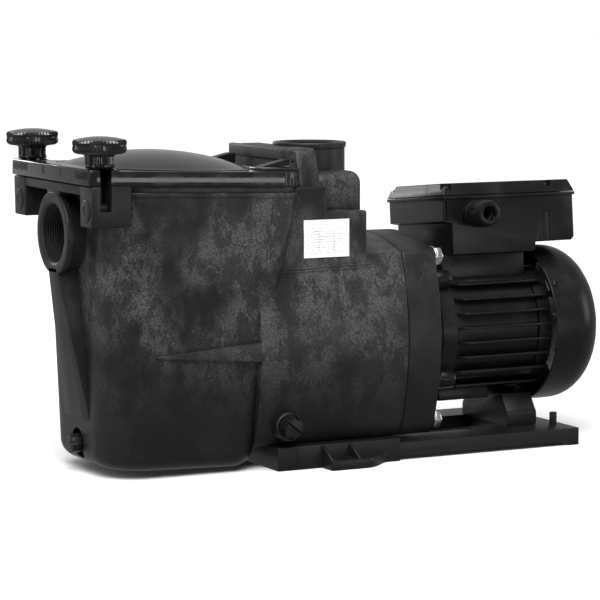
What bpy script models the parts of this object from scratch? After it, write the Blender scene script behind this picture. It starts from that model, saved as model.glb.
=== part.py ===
"""Pool pump: strainer tank and pump housing in one moulding, clamped lid, totally enclosed motor.

Everything is modelled in an assembly frame whose X runs along the shaft from the suction
face (x = 0) to the fan cover, with Y = 0 on the symmetry plane and Z = 0 on the ground.
The frame itself is shifted so that the world origin is the middle of the footprint.
"""
import bmesh
import bpy
from math import atan, cos, pi, radians, sin, sqrt
from mathutils import Matrix, Vector

GAP = 0.0003                 # clearance between touching pieces
SHAFT_Z = 0.1180             # height of the shaft axis

# strainer tank and lid
TANK_FRONT = 0.0205
TANK_REAR_LOW = 0.180
TANK_REAR_HIGH = 0.222
TANK_HALF_LOW = 0.078
TANK_HALF_HIGH = 0.098
TANK_FLOOR = 0.0090
TANK_WALL = 0.006
TANK_CORNER = 0.044
TANK_REAR_CORNER = 0.026
RIM_Z = 0.2823               # rim height at x = 0
RIM_SLOPE = 0.0328           # the rim falls towards the motor
LID_FRONT = -0.0028
LID_REAR = 0.2220
LID_HALF = 0.0990
LID_BAND = 0.0140
LID_BAR = 0.0153
DOME_X = 0.106
DOME_RADIUS = 0.094
DOME_HEIGHT = 0.0170
BASKET_X = 0.118

# clamps
BOLT_X = 0.0140
BOLT_Y = 0.0848
PIN_Z = 0.2590
SLOT_HALF = 0.00575
PAD_RADIUS = 0.0394          # crown of the lid pads about the pin axis
KNOB_RADIUS = 0.0255
KNOB_TOP = 0.0688
ROD_RADIUS = 0.0040

# ports
SUCTION_Z = 0.2320
DISCHARGE_X = 0.2750
DISCHARGE_TOP = 0.3126
PORT_BORE = 0.02836
PORT_RING = 0.0398
COLLAR_RADIUS = 0.0367

# volute section and seal plate
VOLUTE_FRONT = 0.176
VOLUTE_REAR = 0.337
PLATE_REAR = 0.374
SECTION_CORNER_Y = 0.0785
SECTION_CORNER_RISE = 0.0875
SECTION_SIDE = 0.0945
SECTION_TOP = 0.2210
SECTION_BOTTOM = 0.0232
CHAMBER_RADIUS = 0.076
HOUSING_BOLT_Y = 0.0700
HOUSING_BOLT_RISE = 0.0815

# motor
MOTOR_TURN = radians(-5.5)
FRAME_START = 0.3923
FRAME_END = 0.505
BARREL_RADIUS = 0.064
FIN_RADIUS = 0.073
FIN_START = 0.411
FIN_END = 0.515
FIN_PITCH = 0.0147
FIN_THICKNESS = 0.0026
COVER_START = 0.5175
LENGTH_END = 0.580
COVER_RADIUS = 0.0801
COVER_SHOULDER = 0.034         # rounding of the fan cover's closed end
COVER_SCREW_ANGLES = [radians(a) for a in (60, -60, 180)]
MOTOR_BOLT_OFFSET = 0.0500
GLAND_X = 0.4346
GLAND_RISE = 0.1146
BOX_SIDE = 0.0565

# base
BASE_FRONT = 0.196
BASE_END = 0.5417
BASE_HALF = 0.0850
BASE_BLOCK_END = 0.331
BASE_BLOCK_TOP = 0.0229
RAIL_TOP = 0.0176
TAB_HALF = 0.1097

ORIGIN_SHIFT = -(LENGTH_END + BOLT_X - KNOB_RADIUS) / 2

ROUND_STEPS = 24
SMALL_STEPS = 12


# ---------------------------------------------------------------- helpers
def clear_scene():
    for obj in list(bpy.data.objects):
        bpy.data.objects.remove(obj, do_unlink=True)


def collection(name):
    group = bpy.data.collections.new(name)
    bpy.context.scene.collection.children.link(group)
    return group


def finish(name, color, roughness, metallic=0.0):
    mat = bpy.data.materials.new(name)
    mat.use_nodes = True
    shader = mat.node_tree.nodes["Principled BSDF"]
    shader.inputs["Base Color"].default_value = (*color, 1.0)
    shader.inputs["Roughness"].default_value = roughness
    shader.inputs["Metallic"].default_value = metallic
    return mat


def empty(name, parent, location=(0, 0, 0), rotation=(0, 0, 0)):
    obj = bpy.data.objects.new(name, None)
    PARTS.objects.link(obj)
    obj.parent = parent
    obj.location = location
    obj.rotation_euler = rotation
    return obj


def place(obj, parent, location=(0, 0, 0), rotation=(0, 0, 0)):
    obj.parent = parent
    obj.location = location
    obj.rotation_euler = rotation
    return obj


def mesh_object(name, bm, smooth=False):
    bmesh.ops.recalc_face_normals(bm, faces=bm.faces)
    mesh = bpy.data.meshes.new(name)
    bm.to_mesh(mesh)
    bm.free()
    if smooth:
        mesh.shade_smooth()
        mesh.set_sharp_from_angle(angle=radians(40))
    obj = bpy.data.objects.new(name, mesh)
    TOOLS.objects.link(obj)
    obj.hide_render = True
    obj.display_type = "WIRE"
    return obj


def box(name, low, high, parent=None, rotation=(0, 0, 0), bevel=0.0):
    """A block between two corners of the parent's frame, with its origin at its middle."""
    low = Vector(low)
    high = Vector(high)
    bm = bmesh.new()
    bmesh.ops.create_cube(bm, size=1)
    bmesh.ops.scale(bm, vec=high - low, verts=bm.verts)
    if bevel:
        bmesh.ops.bevel(bm, geom=bm.edges, offset=bevel, segments=2, profile=0.5, affect="EDGES")
    return place(mesh_object(name, bm), parent, (low + high) / 2, rotation)


def cylinder(name, radius, start, end, steps=ROUND_STEPS, parent=None, location=(0, 0, 0),
             rotation=(0, 0, 0), end_radius=None):
    """A round bar or cone along the local Z axis, from start to end."""
    bm = bmesh.new()
    bmesh.ops.create_cone(bm, cap_ends=True, segments=steps, radius1=radius,
                          radius2=radius if end_radius is None else end_radius, depth=end - start)
    bmesh.ops.translate(bm, vec=(0, 0, (start + end) / 2), verts=bm.verts)
    return place(mesh_object(name, bm, True), parent, location, rotation)


def turned(name, profile, parent=None, location=(0, 0, 0), rotation=(0, 0, 0), steps=ROUND_STEPS,
           closed=False):
    """A (radius, height) profile, given down its outer side, turned about the local Z axis."""
    mesh = bpy.data.meshes.new(name)
    points = [(radius, 0, height) for radius, height in profile]
    edges = [(i, i + 1) for i in range(len(points) - 1)]
    if closed:
        edges.append((len(points) - 1, 0))
    mesh.from_pydata(points, edges, [])
    obj = bpy.data.objects.new(name, mesh)
    TOOLS.objects.link(obj)
    obj.hide_render = True
    obj.display_type = "WIRE"
    screw = obj.modifiers.new("turn", "SCREW")
    screw.axis = "Z"
    screw.steps = steps
    screw.render_steps = steps
    screw.use_merge_vertices = True
    screw.merge_threshold = 0.00001
    screw.use_smooth_shade = True
    return place(obj, parent, location, rotation)


def outline(name, points, low, high, parent=None, location=(0, 0, 0), rotation=(0, 0, 0)):
    """A flat outline in the local XY plane, given thickness from low to high along local Z."""
    curve = bpy.data.curves.new(name, "CURVE")
    curve.dimensions = "2D"
    curve.fill_mode = "BOTH"
    curve.extrude = (high - low) / 2
    spline = curve.splines.new("POLY")
    spline.points.add(len(points) - 1)
    for point, (x, y) in zip(spline.points, points):
        point.co = (x, y, 0, 1)
    spline.use_cyclic_u = True
    flat = bpy.data.objects.new(name + "_curve", curve)
    TOOLS.objects.link(flat)
    bpy.context.view_layer.update()
    mesh = bpy.data.meshes.new_from_object(flat.evaluated_get(bpy.context.evaluated_depsgraph_get()))
    bm = bmesh.new()
    bm.from_mesh(mesh)
    bmesh.ops.remove_doubles(bm, verts=bm.verts, dist=0.00001)
    bmesh.ops.translate(bm, vec=(0, 0, (low + high) / 2), verts=bm.verts)
    bpy.data.objects.remove(flat)
    bpy.data.meshes.remove(mesh)
    return place(mesh_object(name, bm), parent, location, rotation)


def arc(center_x, center_y, radius, start, end, count):
    """Points along an arc, with angles in degrees."""
    angles = [radians(start + (end - start) * i / count) for i in range(count + 1)]
    return [(center_x + radius * cos(a), center_y + radius * sin(a)) for a in angles]


def join(obj, *others):
    for other in others:
        cut = obj.modifiers.new("join", "BOOLEAN")
        cut.operation = "UNION"
        cut.object = other
    return obj


def carve(obj, *others):
    for other in others:
        cut = obj.modifiers.new("carve", "BOOLEAN")
        cut.operation = "DIFFERENCE"
        cut.object = other
    return obj


def part(obj, name, mat):
    """Make a shape one of the pump's sub-parts."""
    obj.name = name
    obj.data.name = name
    obj.data.materials.clear()
    obj.data.materials.append(mat)
    TOOLS.objects.unlink(obj)
    PARTS.objects.link(obj)
    obj.hide_render = False
    obj.display_type = "TEXTURED"
    return obj


ALONG_X = (0, pi / 2, 0)             # local Z becomes +X
FRONT_VIEW = (pi / 2, 0, pi / 2)     # local X, Y, Z become Y, Z, X
SIDE_VIEW = (pi / 2, 0, 0)           # local X, Y, Z become X, Z, -Y


# ---------------------------------------------------------------- pump housing
def rim_height(x):
    return RIM_Z - RIM_SLOPE * x


def tank_shape(name, inset, floor, top_extra, parent):
    """The tapered tank, with every wall moved in by inset."""
    bm = bmesh.new()
    bmesh.ops.create_cube(bm, size=2)
    for vert in bm.verts:
        high = vert.co.z > 0
        rear = vert.co.x > 0
        side = 1 if vert.co.y > 0 else -1
        back = TANK_REAR_HIGH if high else TANK_REAR_LOW
        x = back - inset if rear else TANK_FRONT + inset + (0 if high else 0.004)
        half = (TANK_HALF_HIGH if high else TANK_HALF_LOW) - inset
        z = rim_height(x) + top_extra if high else floor - RIM_SLOPE * (x - TANK_FRONT)
        vert.co = (x, side * half, z)
    upright = [e for e in bm.edges if abs(e.verts[0].co.z - e.verts[1].co.z) > 0.1]
    front = [e for e in upright if e.verts[0].co.x < 0.1]
    rear = [e for e in upright if e.verts[0].co.x > 0.1]
    bmesh.ops.bevel(bm, geom=front, offset=TANK_CORNER - inset, segments=5, profile=0.5, affect="EDGES")
    bmesh.ops.bevel(bm, geom=rear, offset=TANK_REAR_CORNER - inset, segments=3, profile=0.5,
                    affect="EDGES")
    base = [e for e in bm.edges if max(v.co.z for v in e.verts) < floor + 0.001]
    bmesh.ops.bevel(bm, geom=base, offset=0.016 - inset / 2, segments=2, profile=0.5, affect="EDGES")
    return place(mesh_object(name, bm, True), parent)


def section_points(inset, count=6):
    """The bulged outline shared by the volute and the seal plate, seen along the shaft."""
    corner_y = SECTION_CORNER_Y - inset
    rise = SECTION_CORNER_RISE - inset
    bulge = SECTION_SIDE - SECTION_CORNER_Y
    side = []
    for i in range(count + 1):
        t = -1 + 2 * i / count
        side.append((corner_y + bulge * (1 - t * t), SHAFT_Z + t * rise))
    crown = SECTION_TOP - inset - SHAFT_Z - rise
    top = []
    for i in range(1, 6):
        t = 1 - i / 3
        top.append((corner_y * t, SHAFT_Z + rise + crown * (1 - t * t)))
    far = [(-y, z) for y, z in reversed(side)]
    floor = SECTION_BOTTOM + inset
    return side + top + far + [(-corner_y + 0.006, floor), (corner_y - 0.006, floor)]


def lug_shapes(parent):
    """The two clamp lugs, mirrored about the symmetry plane."""
    shapes = []
    for side in (-1, 1):
        points = [(side * 0.0700, 0.2435), (side * 0.0980, 0.2435), (side * 0.1000, 0.2900),
                  (side * 0.0700, 0.2900)]
        if side < 0:
            points.reverse()
        shapes.append(outline("lug", points, 0.0, 0.040, parent, rotation=FRONT_VIEW))
    return shapes


def lug_cutters(parent):
    cutters = []
    for side in (-1, 1):
        near = sorted((side * 0.0755, side * 0.0950))
        outer = sorted((side * 0.0900, side * 0.1200))
        cutters.append(box("slot_well", (BOLT_X - SLOT_HALF, near[0], 0.2495),
                           (BOLT_X + SLOT_HALF, near[1], 0.300), parent))
        cutters.append(box("slot_mouth", (BOLT_X - SLOT_HALF, outer[0], 0.2586),
                           (BOLT_X + SLOT_HALF, outer[1], 0.300), parent))
        cutters.append(cylinder("pin_bore", 0.0043, -0.01, 0.0330, SMALL_STEPS, parent,
                                (0, side * BOLT_Y, PIN_Z), ALONG_X))
        cutters.append(cylinder("pin_counterbore", 0.0108, -0.01, 0.0030, SMALL_STEPS, parent,
                                (0, side * BOLT_Y, PIN_Z), ALONG_X))
    return cutters


def front_leg(parent):
    """The tapered web that carries the suction port down to the front drain."""
    points = [(-0.0107, 0.195), (-0.0345, 0.0420), (-0.0150, 0.0290), (0.0150, 0.0290),
              (0.0345, 0.0420), (0.0107, 0.195)]
    web = outline("front_leg", points, 0.0, 0.045, parent, rotation=FRONT_VIEW)
    slope = atan(0.026 / 0.155)
    face = box("front_leg_face", (-0.1, -0.1, -0.05), (0.0, 0.1, 0.40), parent)
    place(face, parent, (-0.0490 - 0.0005, 0, 0.192), (0, -slope, 0))
    return carve(web, face)


def wedge_rib(side, parent):
    """A pointed stiffening rib on the tank wall, growing towards the volute."""
    bm = bmesh.new()
    bmesh.ops.create_cube(bm, size=2)
    for vert in bm.verts:
        rear = vert.co.x > 0
        outer = vert.co.y * side > 0
        half_height = 0.0098 if rear else 0.0004
        outer_y = 0.0945 if rear else 0.0862
        vert.co = (0.190 if rear else 0.0690, side * (outer_y if outer else 0.080),
                   0.1180 + (half_height if vert.co.z > 0 else -half_height))
    return place(mesh_object("wedge_rib", bm), parent)


def tower_shape(parent):
    """The flat-faced block that carries the discharge port above the volute."""
    points = [(0.186, 0.150), (0.2958, 0.150), (0.2958, 0.249), (0.252, 0.249), (0.252, 0.2735),
              (0.2150, 0.2735), (0.2120, 0.262)]
    return outline("tower", points, -0.0832, 0.0832, parent, rotation=SIDE_VIEW)


def arch_shape(parent):
    """The arch over the rear edge of the lid, seen along the shaft."""
    points = [(-0.0810, 0.240), (0.0890, 0.240), (0.0890, 0.3000), (0.0830, 0.3060),
              (0.0600, 0.3095), (-0.0580, 0.3092), (-0.0625, 0.3070)]
    return outline("arch", points, 0.228, 0.2505, parent, rotation=FRONT_VIEW)


def pump_housing(parent):
    body = tank_shape("tank", 0.0, TANK_FLOOR, 0.0, parent)
    join(body, outline("volute", section_points(0.0), VOLUTE_FRONT, VOLUTE_REAR, parent,
                       rotation=FRONT_VIEW))
    join(body, tower_shape(parent), arch_shape(parent))
    join(body, box("discharge_hump", (0.249, -0.062, 0.235), (0.304, 0.078, 0.2860), parent, bevel=0.012))
    join(body, cylinder("collar", COLLAR_RADIUS, 0.20, DISCHARGE_TOP, ROUND_STEPS, parent,
                        (DISCHARGE_X, 0, 0)))
    join(body, cylinder("suction_tube", 0.0360, 0.004, 0.040, ROUND_STEPS, parent, (0, 0, SUCTION_Z),
                        ALONG_X))
    join(body, cylinder("suction_ring", PORT_RING, 0.0, 0.007, ROUND_STEPS, parent, (0, 0, SUCTION_Z),
                        ALONG_X))
    bar = box("front_bar", (0.0007, -0.072, 0.2720), (0.040, 0.072, 0.2900), parent)
    neck = box("neck", (0.0007, -0.0155, 0.262), (0.030, 0.0155, 0.276), parent)
    join(body, *lug_shapes(parent), bar, neck)
    join(body, front_leg(parent), wedge_rib(-1, parent), wedge_rib(1, parent))
    carve(body, cylinder("front_drain_pocket", 0.0150, 0.0, 0.0330, SMALL_STEPS, parent, (0, 0, 0.0282),
                         ALONG_X))
    join(body, cylinder("front_drain_boss", 0.0145, 0.0310, 0.060, SMALL_STEPS, parent, (0, 0, 0.0282),
                        ALONG_X))
    join(body, cylinder("side_drain_boss", 0.0140, -0.0960, -0.070, SMALL_STEPS, parent,
                        (0.2050, 0, 0.0440), (-pi / 2, 0, 0)))

    above_rim = box("above_rim", (-0.2, -0.2, 0.0), (0.226, 0.2, 0.2))
    place(above_rim, parent, (0.0130 + 0.1 * RIM_SLOPE, 0, RIM_Z - 0.0130 * RIM_SLOPE + 0.1),
          (0, atan(RIM_SLOPE), 0))
    carve(body, above_rim)
    tank_inside = tank_shape("tank_inside", TANK_WALL, TANK_FLOOR + TANK_WALL, 0.02, parent)
    ledge_hole = cylinder("ledge_hole", 0.0665, 0.2, 0.3, ROUND_STEPS, parent, (BASKET_X, 0, 0))
    ledge = box("ledge", (0.0, -0.12, 0.2600), (0.25, 0.12, 0.2650), parent)
    carve(tank_inside, carve(ledge, ledge_hole))
    carve(body, tank_inside)
    carve(body, box("tongue_pocket", (0.2235, -0.056, 0.2745), (0.2375, 0.056, 0.2868), parent))
    carve(body, cylinder("suction_bore", PORT_BORE, -0.01, 0.035, ROUND_STEPS, parent,
                         (0, 0, SUCTION_Z), ALONG_X))
    carve(body, cylinder("eye_bore", 0.0310, 0.165, 0.250, ROUND_STEPS, parent, (0, 0, SHAFT_Z),
                         ALONG_X))
    carve(body, cylinder("chamber", CHAMBER_RADIUS, 0.236, 0.40, ROUND_STEPS, parent, (0, 0, SHAFT_Z),
                         ALONG_X))
    carve(body, cylinder("gasket_groove", 0.0800, 0.3335, 0.40, ROUND_STEPS, parent, (0, 0, SHAFT_Z),
                         ALONG_X))
    carve(body, cylinder("discharge_bore", PORT_BORE, 0.180, 0.33, ROUND_STEPS, parent,
                         (DISCHARGE_X, 0, 0)))
    carve(body, cylinder("front_drain_bore", 0.0065, 0.02, 0.060, SMALL_STEPS, parent, (0, 0, 0.0282),
                         ALONG_X))
    carve(body, cylinder("side_drain_bore", 0.0065, -0.12, -0.04, SMALL_STEPS, parent,
                         (0.2050, 0, 0.0440), (-pi / 2, 0, 0)))
    carve(body, cylinder("side_drain_face", 0.0120, -0.12, -0.0930, SMALL_STEPS, parent,
                         (0.2050, 0, 0.0440), (-pi / 2, 0, 0)))
    carve(body, *lug_cutters(parent))
    for y, z in housing_bolt_places():
        carve(body, cylinder("bolt_bore", 0.0053, 0.300, 0.345, SMALL_STEPS, parent, (0, y, z),
                             ALONG_X))
    return part(body, "pump_housing", BLACK_PLASTIC)


def housing_bolt_places():
    return [(side * HOUSING_BOLT_Y, SHAFT_Z + rise * HOUSING_BOLT_RISE)
            for rise in (1, -1) for side in (-1, 1)]


# ---------------------------------------------------------------- lid, seal, basket
def lid_plan(front, rear, half, front_corner, rear_corner, front_count, rear_count):
    """A square plan with its own front and rear corner rounding."""
    right_rear = arc(rear - rear_corner, -half + rear_corner, rear_corner, -90, 0, rear_count)
    left_rear = arc(rear - rear_corner, half - rear_corner, rear_corner, 0, 90, rear_count)
    left_front = arc(front + front_corner, half - front_corner, front_corner, 90, 180, front_count)
    right_front = arc(front + front_corner, -half + front_corner, front_corner, 180, 270, front_count)
    return right_rear + left_rear + left_front + right_front


def cap_profile(radius, height, base, count):
    """Down the outer side of a shallow spherical cap."""
    sphere = (radius * radius + height * height) / (2 * height)
    points = []
    for i in range(count + 1):
        r = radius * i / count
        points.append((r, base + height - sphere + sqrt(sphere * sphere - r * r)))
    return points


def strainer_lid(lid_frame, assembly):
    plate = outline("lid_plate", lid_plan(LID_FRONT, LID_REAR, LID_HALF, 0.003, 0.025, 1, 5),
                    0.0, LID_BAND, lid_frame)
    for obj in (outline("lid_bar", lid_plan(LID_FRONT, 0.030, LID_HALF, 0.003, 0.002, 1, 1),
                        0.001, LID_BAR, lid_frame),
                turned("lid_dome", cap_profile(DOME_RADIUS, DOME_HEIGHT, LID_BAND - 0.0008, 3)
                       + [(DOME_RADIUS, 0.004), (0, 0.004)], lid_frame, (DOME_X, 0, 0)),
                box("lid_tongue", (0.210, -0.052, 0.0025), (0.2338, 0.052, 0.0098), lid_frame)):
        join(plate, obj)
    for side in (-1, 1):
        near = sorted((side * 0.060, side * 0.093))
        join(plate, box("corner_pad", (0.178, near[0], 0.004), (0.2180, near[1], 0.0172), lid_frame))
        ramp = [(0.184, 0.010), (0.2215, 0.010), (0.2215, 0.0305), (0.2170, 0.0305), (0.184, 0.0185)]
        join(plate, outline("hook_ramp", ramp, -0.005, 0.005, lid_frame, (0, side * 0.062, 0),
                            SIDE_VIEW))
        crown = cylinder("pad_crown", PAD_RADIUS, BOLT_X - 0.0140, BOLT_X + 0.0140, 72, assembly,
                         (0, side * BOLT_Y, PIN_Z), ALONG_X)
        near = sorted((side * 0.0685, side * 0.0985))
        pad = box("pad_block", (BOLT_X - 0.0135, near[0], 0.288), (BOLT_X + 0.0135, near[1], 0.300),
                  assembly)
        cut = pad.modifiers.new("crown", "BOOLEAN")
        cut.operation = "INTERSECT"
        cut.object = crown
        sweep = box("pad_sweep", (BOLT_X - 0.0150, near[0], 0.2905),
                    (BOLT_X + 0.0150, near[1] + 0.02 if side > 0 else near[1], 0.310), assembly)
        if side < 0:
            sweep = box("pad_sweep", (BOLT_X - 0.0150, near[0] - 0.02, 0.2905),
                        (BOLT_X + 0.0150, near[1], 0.310), assembly)
        carve(plate, sweep)
        join(plate, pad)
    hollow = turned("lid_hollow", cap_profile(0.086, 0.0170, 0.0085, 2) + [(0.086, -0.002), (0, -0.002)],
                    lid_frame, (DOME_X, 0, 0))
    carve(plate, hollow)
    groove = outline("seal_groove", tank_plan(0.0006), -0.002, 0.0030, lid_frame)
    carve(plate, carve(groove, outline("groove_core", tank_plan(0.0056), -0.003, 0.004, lid_frame)))
    for side in (-1, 1):
        near = sorted((side * 0.0755, side * 0.1200))
        carve(plate, box("lid_slot", (BOLT_X - SLOT_HALF, near[0], 0.270),
                         (BOLT_X + SLOT_HALF, near[1], 0.310), assembly))
        near = sorted((side * 0.0025, side * 0.0200))
        carve(plate, box("grip_pocket", (-0.01, near[0], 0.003), (0.0060, near[1], 0.0125), lid_frame))
    return part(plate, "strainer_lid", GLOSS_BLACK)


def tank_plan(inset):
    """The outline of the tank rim, moved in by inset."""
    return lid_plan(TANK_FRONT + inset, TANK_REAR_HIGH - inset, TANK_HALF_HIGH - inset,
                    TANK_CORNER - inset, TANK_REAR_CORNER - inset, 5, 3)


def lid_seal(lid_frame):
    ring = outline("seal_ring", tank_plan(0.0010), 0.0, 0.0027, lid_frame)
    carve(ring, outline("seal_core", tank_plan(0.0052), -0.001, 0.004, lid_frame))
    return part(ring, "lid_seal", RUBBER)


def strainer_basket(parent):
    top = 0.2685
    profile = [(0.0720, top), (0.0720, 0.2653), (0.0650, 0.2653), (0.0560, 0.0450), (0.0, 0.0450),
               (0.0, 0.0475), (0.0530, 0.0475), (0.0620, top)]
    basket = turned("basket", profile, parent, (BASKET_X, 0, 0), steps=16, closed=True)
    for i in range(3):
        slot = box("basket_slot", (-0.08, -0.0090, 0.070), (0.08, 0.0090, 0.190), parent)
        place(slot, parent, (BASKET_X, 0, 0.130), (0, 0, radians(30 + 60 * i)))
        carve(basket, slot)
    carve(basket, box("basket_inlet", (0.030, -0.030, 0.2050), (BASKET_X, 0.030, 0.2560), parent))
    return part(basket, "strainer_basket", GREY_PLASTIC)


# ---------------------------------------------------------------- clamps
def clamp(side, name_side, assembly):
    """Swing bolt, its pin, the washer and the knob on one side of the lid."""
    pin = turned("pin", [(0, -0.0012), (0.0095, -0.0012), (0.0105, -0.0004), (0.0105, 0.0027),
                         (0.0040, 0.0027), (0.0040, 0.0320), (0, 0.0320)][::-1], assembly,
                 (0, side * BOLT_Y, PIN_Z), ALONG_X, SMALL_STEPS)
    part(pin, "swing_bolt_pin_" + name_side, STEEL)
    hinge = empty("swing_axis_" + name_side, assembly, (BOLT_X, side * BOLT_Y, PIN_Z))
    eye = cylinder("eye", 0.0080, -0.0050, 0.0050, 24, hinge, rotation=ALONG_X)
    join(eye, cylinder("rod", ROD_RADIUS, 0.0050, 0.0600, SMALL_STEPS, hinge))
    carve(eye, cylinder("eye_bore", 0.0043, -0.01, 0.01, SMALL_STEPS, hinge, rotation=ALONG_X))
    part(eye, "swing_bolt_" + name_side, STEEL)
    washer = turned("washer", [(0.0046, 0.0410), (0.0140, 0.0410), (0.0140, 0.0397), (0.0046, 0.0397)],
                    hinge, steps=16, closed=True)
    part(washer, "knob_washer_" + name_side, STEEL)
    profile = [(0, KNOB_TOP), (0.0150, 0.0680), (0.0240, 0.0664), (KNOB_RADIUS, 0.0650),
               (KNOB_RADIUS, 0.0535), (0.0240, 0.0522), (0.0138, 0.0518), (0.0138, 0.0413),
               (0.0044, 0.0413), (0.0044, 0.0640), (0, 0.0640)]
    knob = turned("knob", profile, hinge, steps=ROUND_STEPS)
    part(knob, "lid_knob_" + name_side, GLOSS_BLACK)


# ---------------------------------------------------------------- drain plugs
def drain_plug(name, parent, location, rotation):
    """A plug and its gasket, turned about local Z, with the head at negative Z."""
    profile = [(0, -0.0150), (0.0088, -0.0150), (0.0095, -0.0140), (0.0095, -0.0018), (0.0060, -0.0018),
               (0.0060, 0.0170), (0, 0.0170)][::-1]
    plug = turned("plug", profile, parent, location, rotation, SMALL_STEPS)
    slot = box("plug_slot", (-0.012, -0.0010, -0.02), (0.012, 0.0010, -0.0125), parent)
    place(slot, parent, Vector(location) + turn_matrix(rotation) @ Vector((0, 0, -0.0163)), rotation)
    carve(plug, slot)
    part(plug, name + "_drain_plug", BLACK_PLASTIC)
    gasket = turned("gasket", [(0.0064, -0.0003), (0.0098, -0.0003), (0.0098, -0.0015),
                               (0.0064, -0.0015)], parent, location, rotation, SMALL_STEPS, closed=True)
    part(gasket, name + "_drain_gasket", RUBBER)


def turn_matrix(rotation):
    """The rotation matrix of a set of Euler angles."""
    turn = Matrix.Rotation(rotation[2], 3, "Z") @ Matrix.Rotation(rotation[1], 3, "Y")
    return turn @ Matrix.Rotation(rotation[0], 3, "X")


# ---------------------------------------------------------------- hydraulics
def seal_plate(assembly, shaft_line):
    plate = outline("plate", section_points(0.0), VOLUTE_REAR + GAP, PLATE_REAR, assembly,
                    rotation=FRONT_VIEW)
    join(plate, cylinder("spigot", 0.0754, 0.330, 0.345, ROUND_STEPS, shaft_line))
    carve(plate, cylinder("seal_bore", 0.0203, 0.320, 0.3475, ROUND_STEPS, shaft_line))
    carve(plate, cylinder("shaft_bore", 0.0120, 0.32, 0.38, SMALL_STEPS, shaft_line))
    carve(plate, cylinder("rear_recess", 0.0560, 0.3560, 0.38, ROUND_STEPS, shaft_line))
    for y, z in housing_bolt_places():
        carve(plate, cylinder("bolt_bore", 0.0053, 0.320, 0.380, SMALL_STEPS, assembly, (0, y, z),
                              ALONG_X))
    for y, z in motor_bolt_places():
        carve(plate, cylinder("bolt_bore", 0.0034, 0.358, 0.380, SMALL_STEPS, MOTOR, (0, y, z),
                              ALONG_X))
    return part(plate, "seal_plate", BLACK_PLASTIC)


def housing_bolts(assembly):
    names = ("top_right", "top_left", "bottom_right", "bottom_left")
    for label, (y, z) in zip(names, housing_bolt_places()):
        bolt = cylinder("bolt", 0.0050, 0.3080, 0.3760, SMALL_STEPS, assembly, (0, y, z), ALONG_X)
        join(bolt, cylinder("head", 0.0098, PLATE_REAR + 0.0023, 0.3835, 6, assembly, (0, y, z), ALONG_X))
        join(bolt, cylinder("flange", 0.0105, PLATE_REAR + GAP, 0.3765, SMALL_STEPS, assembly,
                            (0, y, z), ALONG_X))
        part(bolt, "housing_bolt_" + label, STEEL)


def diffuser(shaft_line):
    profile = [(0.0275, 0.2290), (0.0305, 0.2290), (0.0305, 0.2480), (0.0690, 0.2560), (0.0690, 0.3270),
               (0.0660, 0.3270), (0.0660, 0.2590), (0.0275, 0.2510)]
    shell = turned("shell", profile[::-1], shaft_line, closed=True)
    for i in range(2):
        window = box("window", (-0.08, -0.012, 0.2900), (0.08, 0.012, 0.3180), shaft_line)
        place(window, shaft_line, (0, 0, 0.3040), (0, 0, radians(45 + 90 * i)))
        carve(shell, window)
    return part(shell, "diffuser", GREY_PLASTIC)


def impeller(shaft_line):
    front = turned("front_shroud", [(0.0240, 0.2440), (0.0265, 0.2440), (0.0265, 0.2600),
                                    (0.0600, 0.2660), (0.0600, 0.2690), (0.0240, 0.2630)][::-1],
                   shaft_line, closed=True)
    back = turned("back_shroud", [(0.0150, 0.2600), (0.0170, 0.2800), (0.0600, 0.2800),
                                  (0.0600, 0.2830), (0.0170, 0.2830), (0.0150, 0.2920),
                                  (0.0081, 0.2920), (0.0081, 0.2600)][::-1], shaft_line, closed=True)
    for i in range(6):
        vane = box("vane", (0.0150, -0.0013, 0.2655), (0.0560, 0.0013, 0.2815), None)
        turn = radians(60 * i)
        place(vane, shaft_line, (0.0355 * cos(turn), 0.0355 * sin(turn), 0.2735),
              (0, 0, turn + radians(28)))
        join(back, vane)
    join(back, front)
    return part(back, "impeller", GREY_PLASTIC)


def shaft_seal(shaft_line):
    head = turned("head", [(0.0086, 0.2925), (0.0140, 0.2925), (0.0140, 0.3020), (0.0165, 0.3040),
                           (0.0165, 0.3180), (0.0120, 0.3200), (0.0120, 0.3225), (0.0086, 0.3225)][::-1],
                  shaft_line, steps=16, closed=True)
    part(head, "shaft_seal_head", RUBBER)
    seat = turned("seat", [(0.0095, 0.3230), (0.0140, 0.3230), (0.0140, 0.3290), (0.0200, 0.3310),
                           (0.0200, 0.3390), (0.0095, 0.3390)][::-1], shaft_line, steps=16, closed=True)
    part(seat, "shaft_seal_seat", CERAMIC)


# ---------------------------------------------------------------- rotating group
def rotating_group(shaft_line):
    profile = [(0, 0.2420), (0.0050, 0.2420), (0.0050, 0.2580), (0.0078, 0.2580), (0.0078, 0.2922),
               (0.0083, 0.2922), (0.0083, 0.3740), (0.0118, 0.3745), (0.0118, 0.3990), (0.0150, 0.4000),
               (0.0150, 0.5000), (0.0118, 0.5010), (0.0118, 0.5240), (0.0080, 0.5250), (0.0080, 0.5580),
               (0, 0.5580)]
    part(turned("shaft", profile[::-1], shaft_line, steps=16), "motor_shaft", STEEL)
    nut = turned("nut", [(0.0061, 0.2430), (0.0090, 0.2430), (0.0090, 0.2550), (0.0140, 0.2565),
                         (0.0140, 0.2577), (0.0061, 0.2577)][::-1], shaft_line, steps=6, closed=True)
    part(nut, "impeller_nut", BRASS)
    slinger = turned("slinger", [(0.0086, 0.3600), (0.0120, 0.3600), (0.0120, 0.3640), (0.0230, 0.3650),
                                 (0.0230, 0.3670), (0.0086, 0.3690)][::-1], shaft_line, steps=16,
                     closed=True)
    part(slinger, "slinger", RUBBER)
    rotor = turned("rotor", [(0.0153, 0.4150), (0.0330, 0.4150), (0.0330, 0.4850), (0.0153, 0.4850)][::-1],
                   shaft_line, closed=True)
    part(rotor, "rotor", STEEL)


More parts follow.
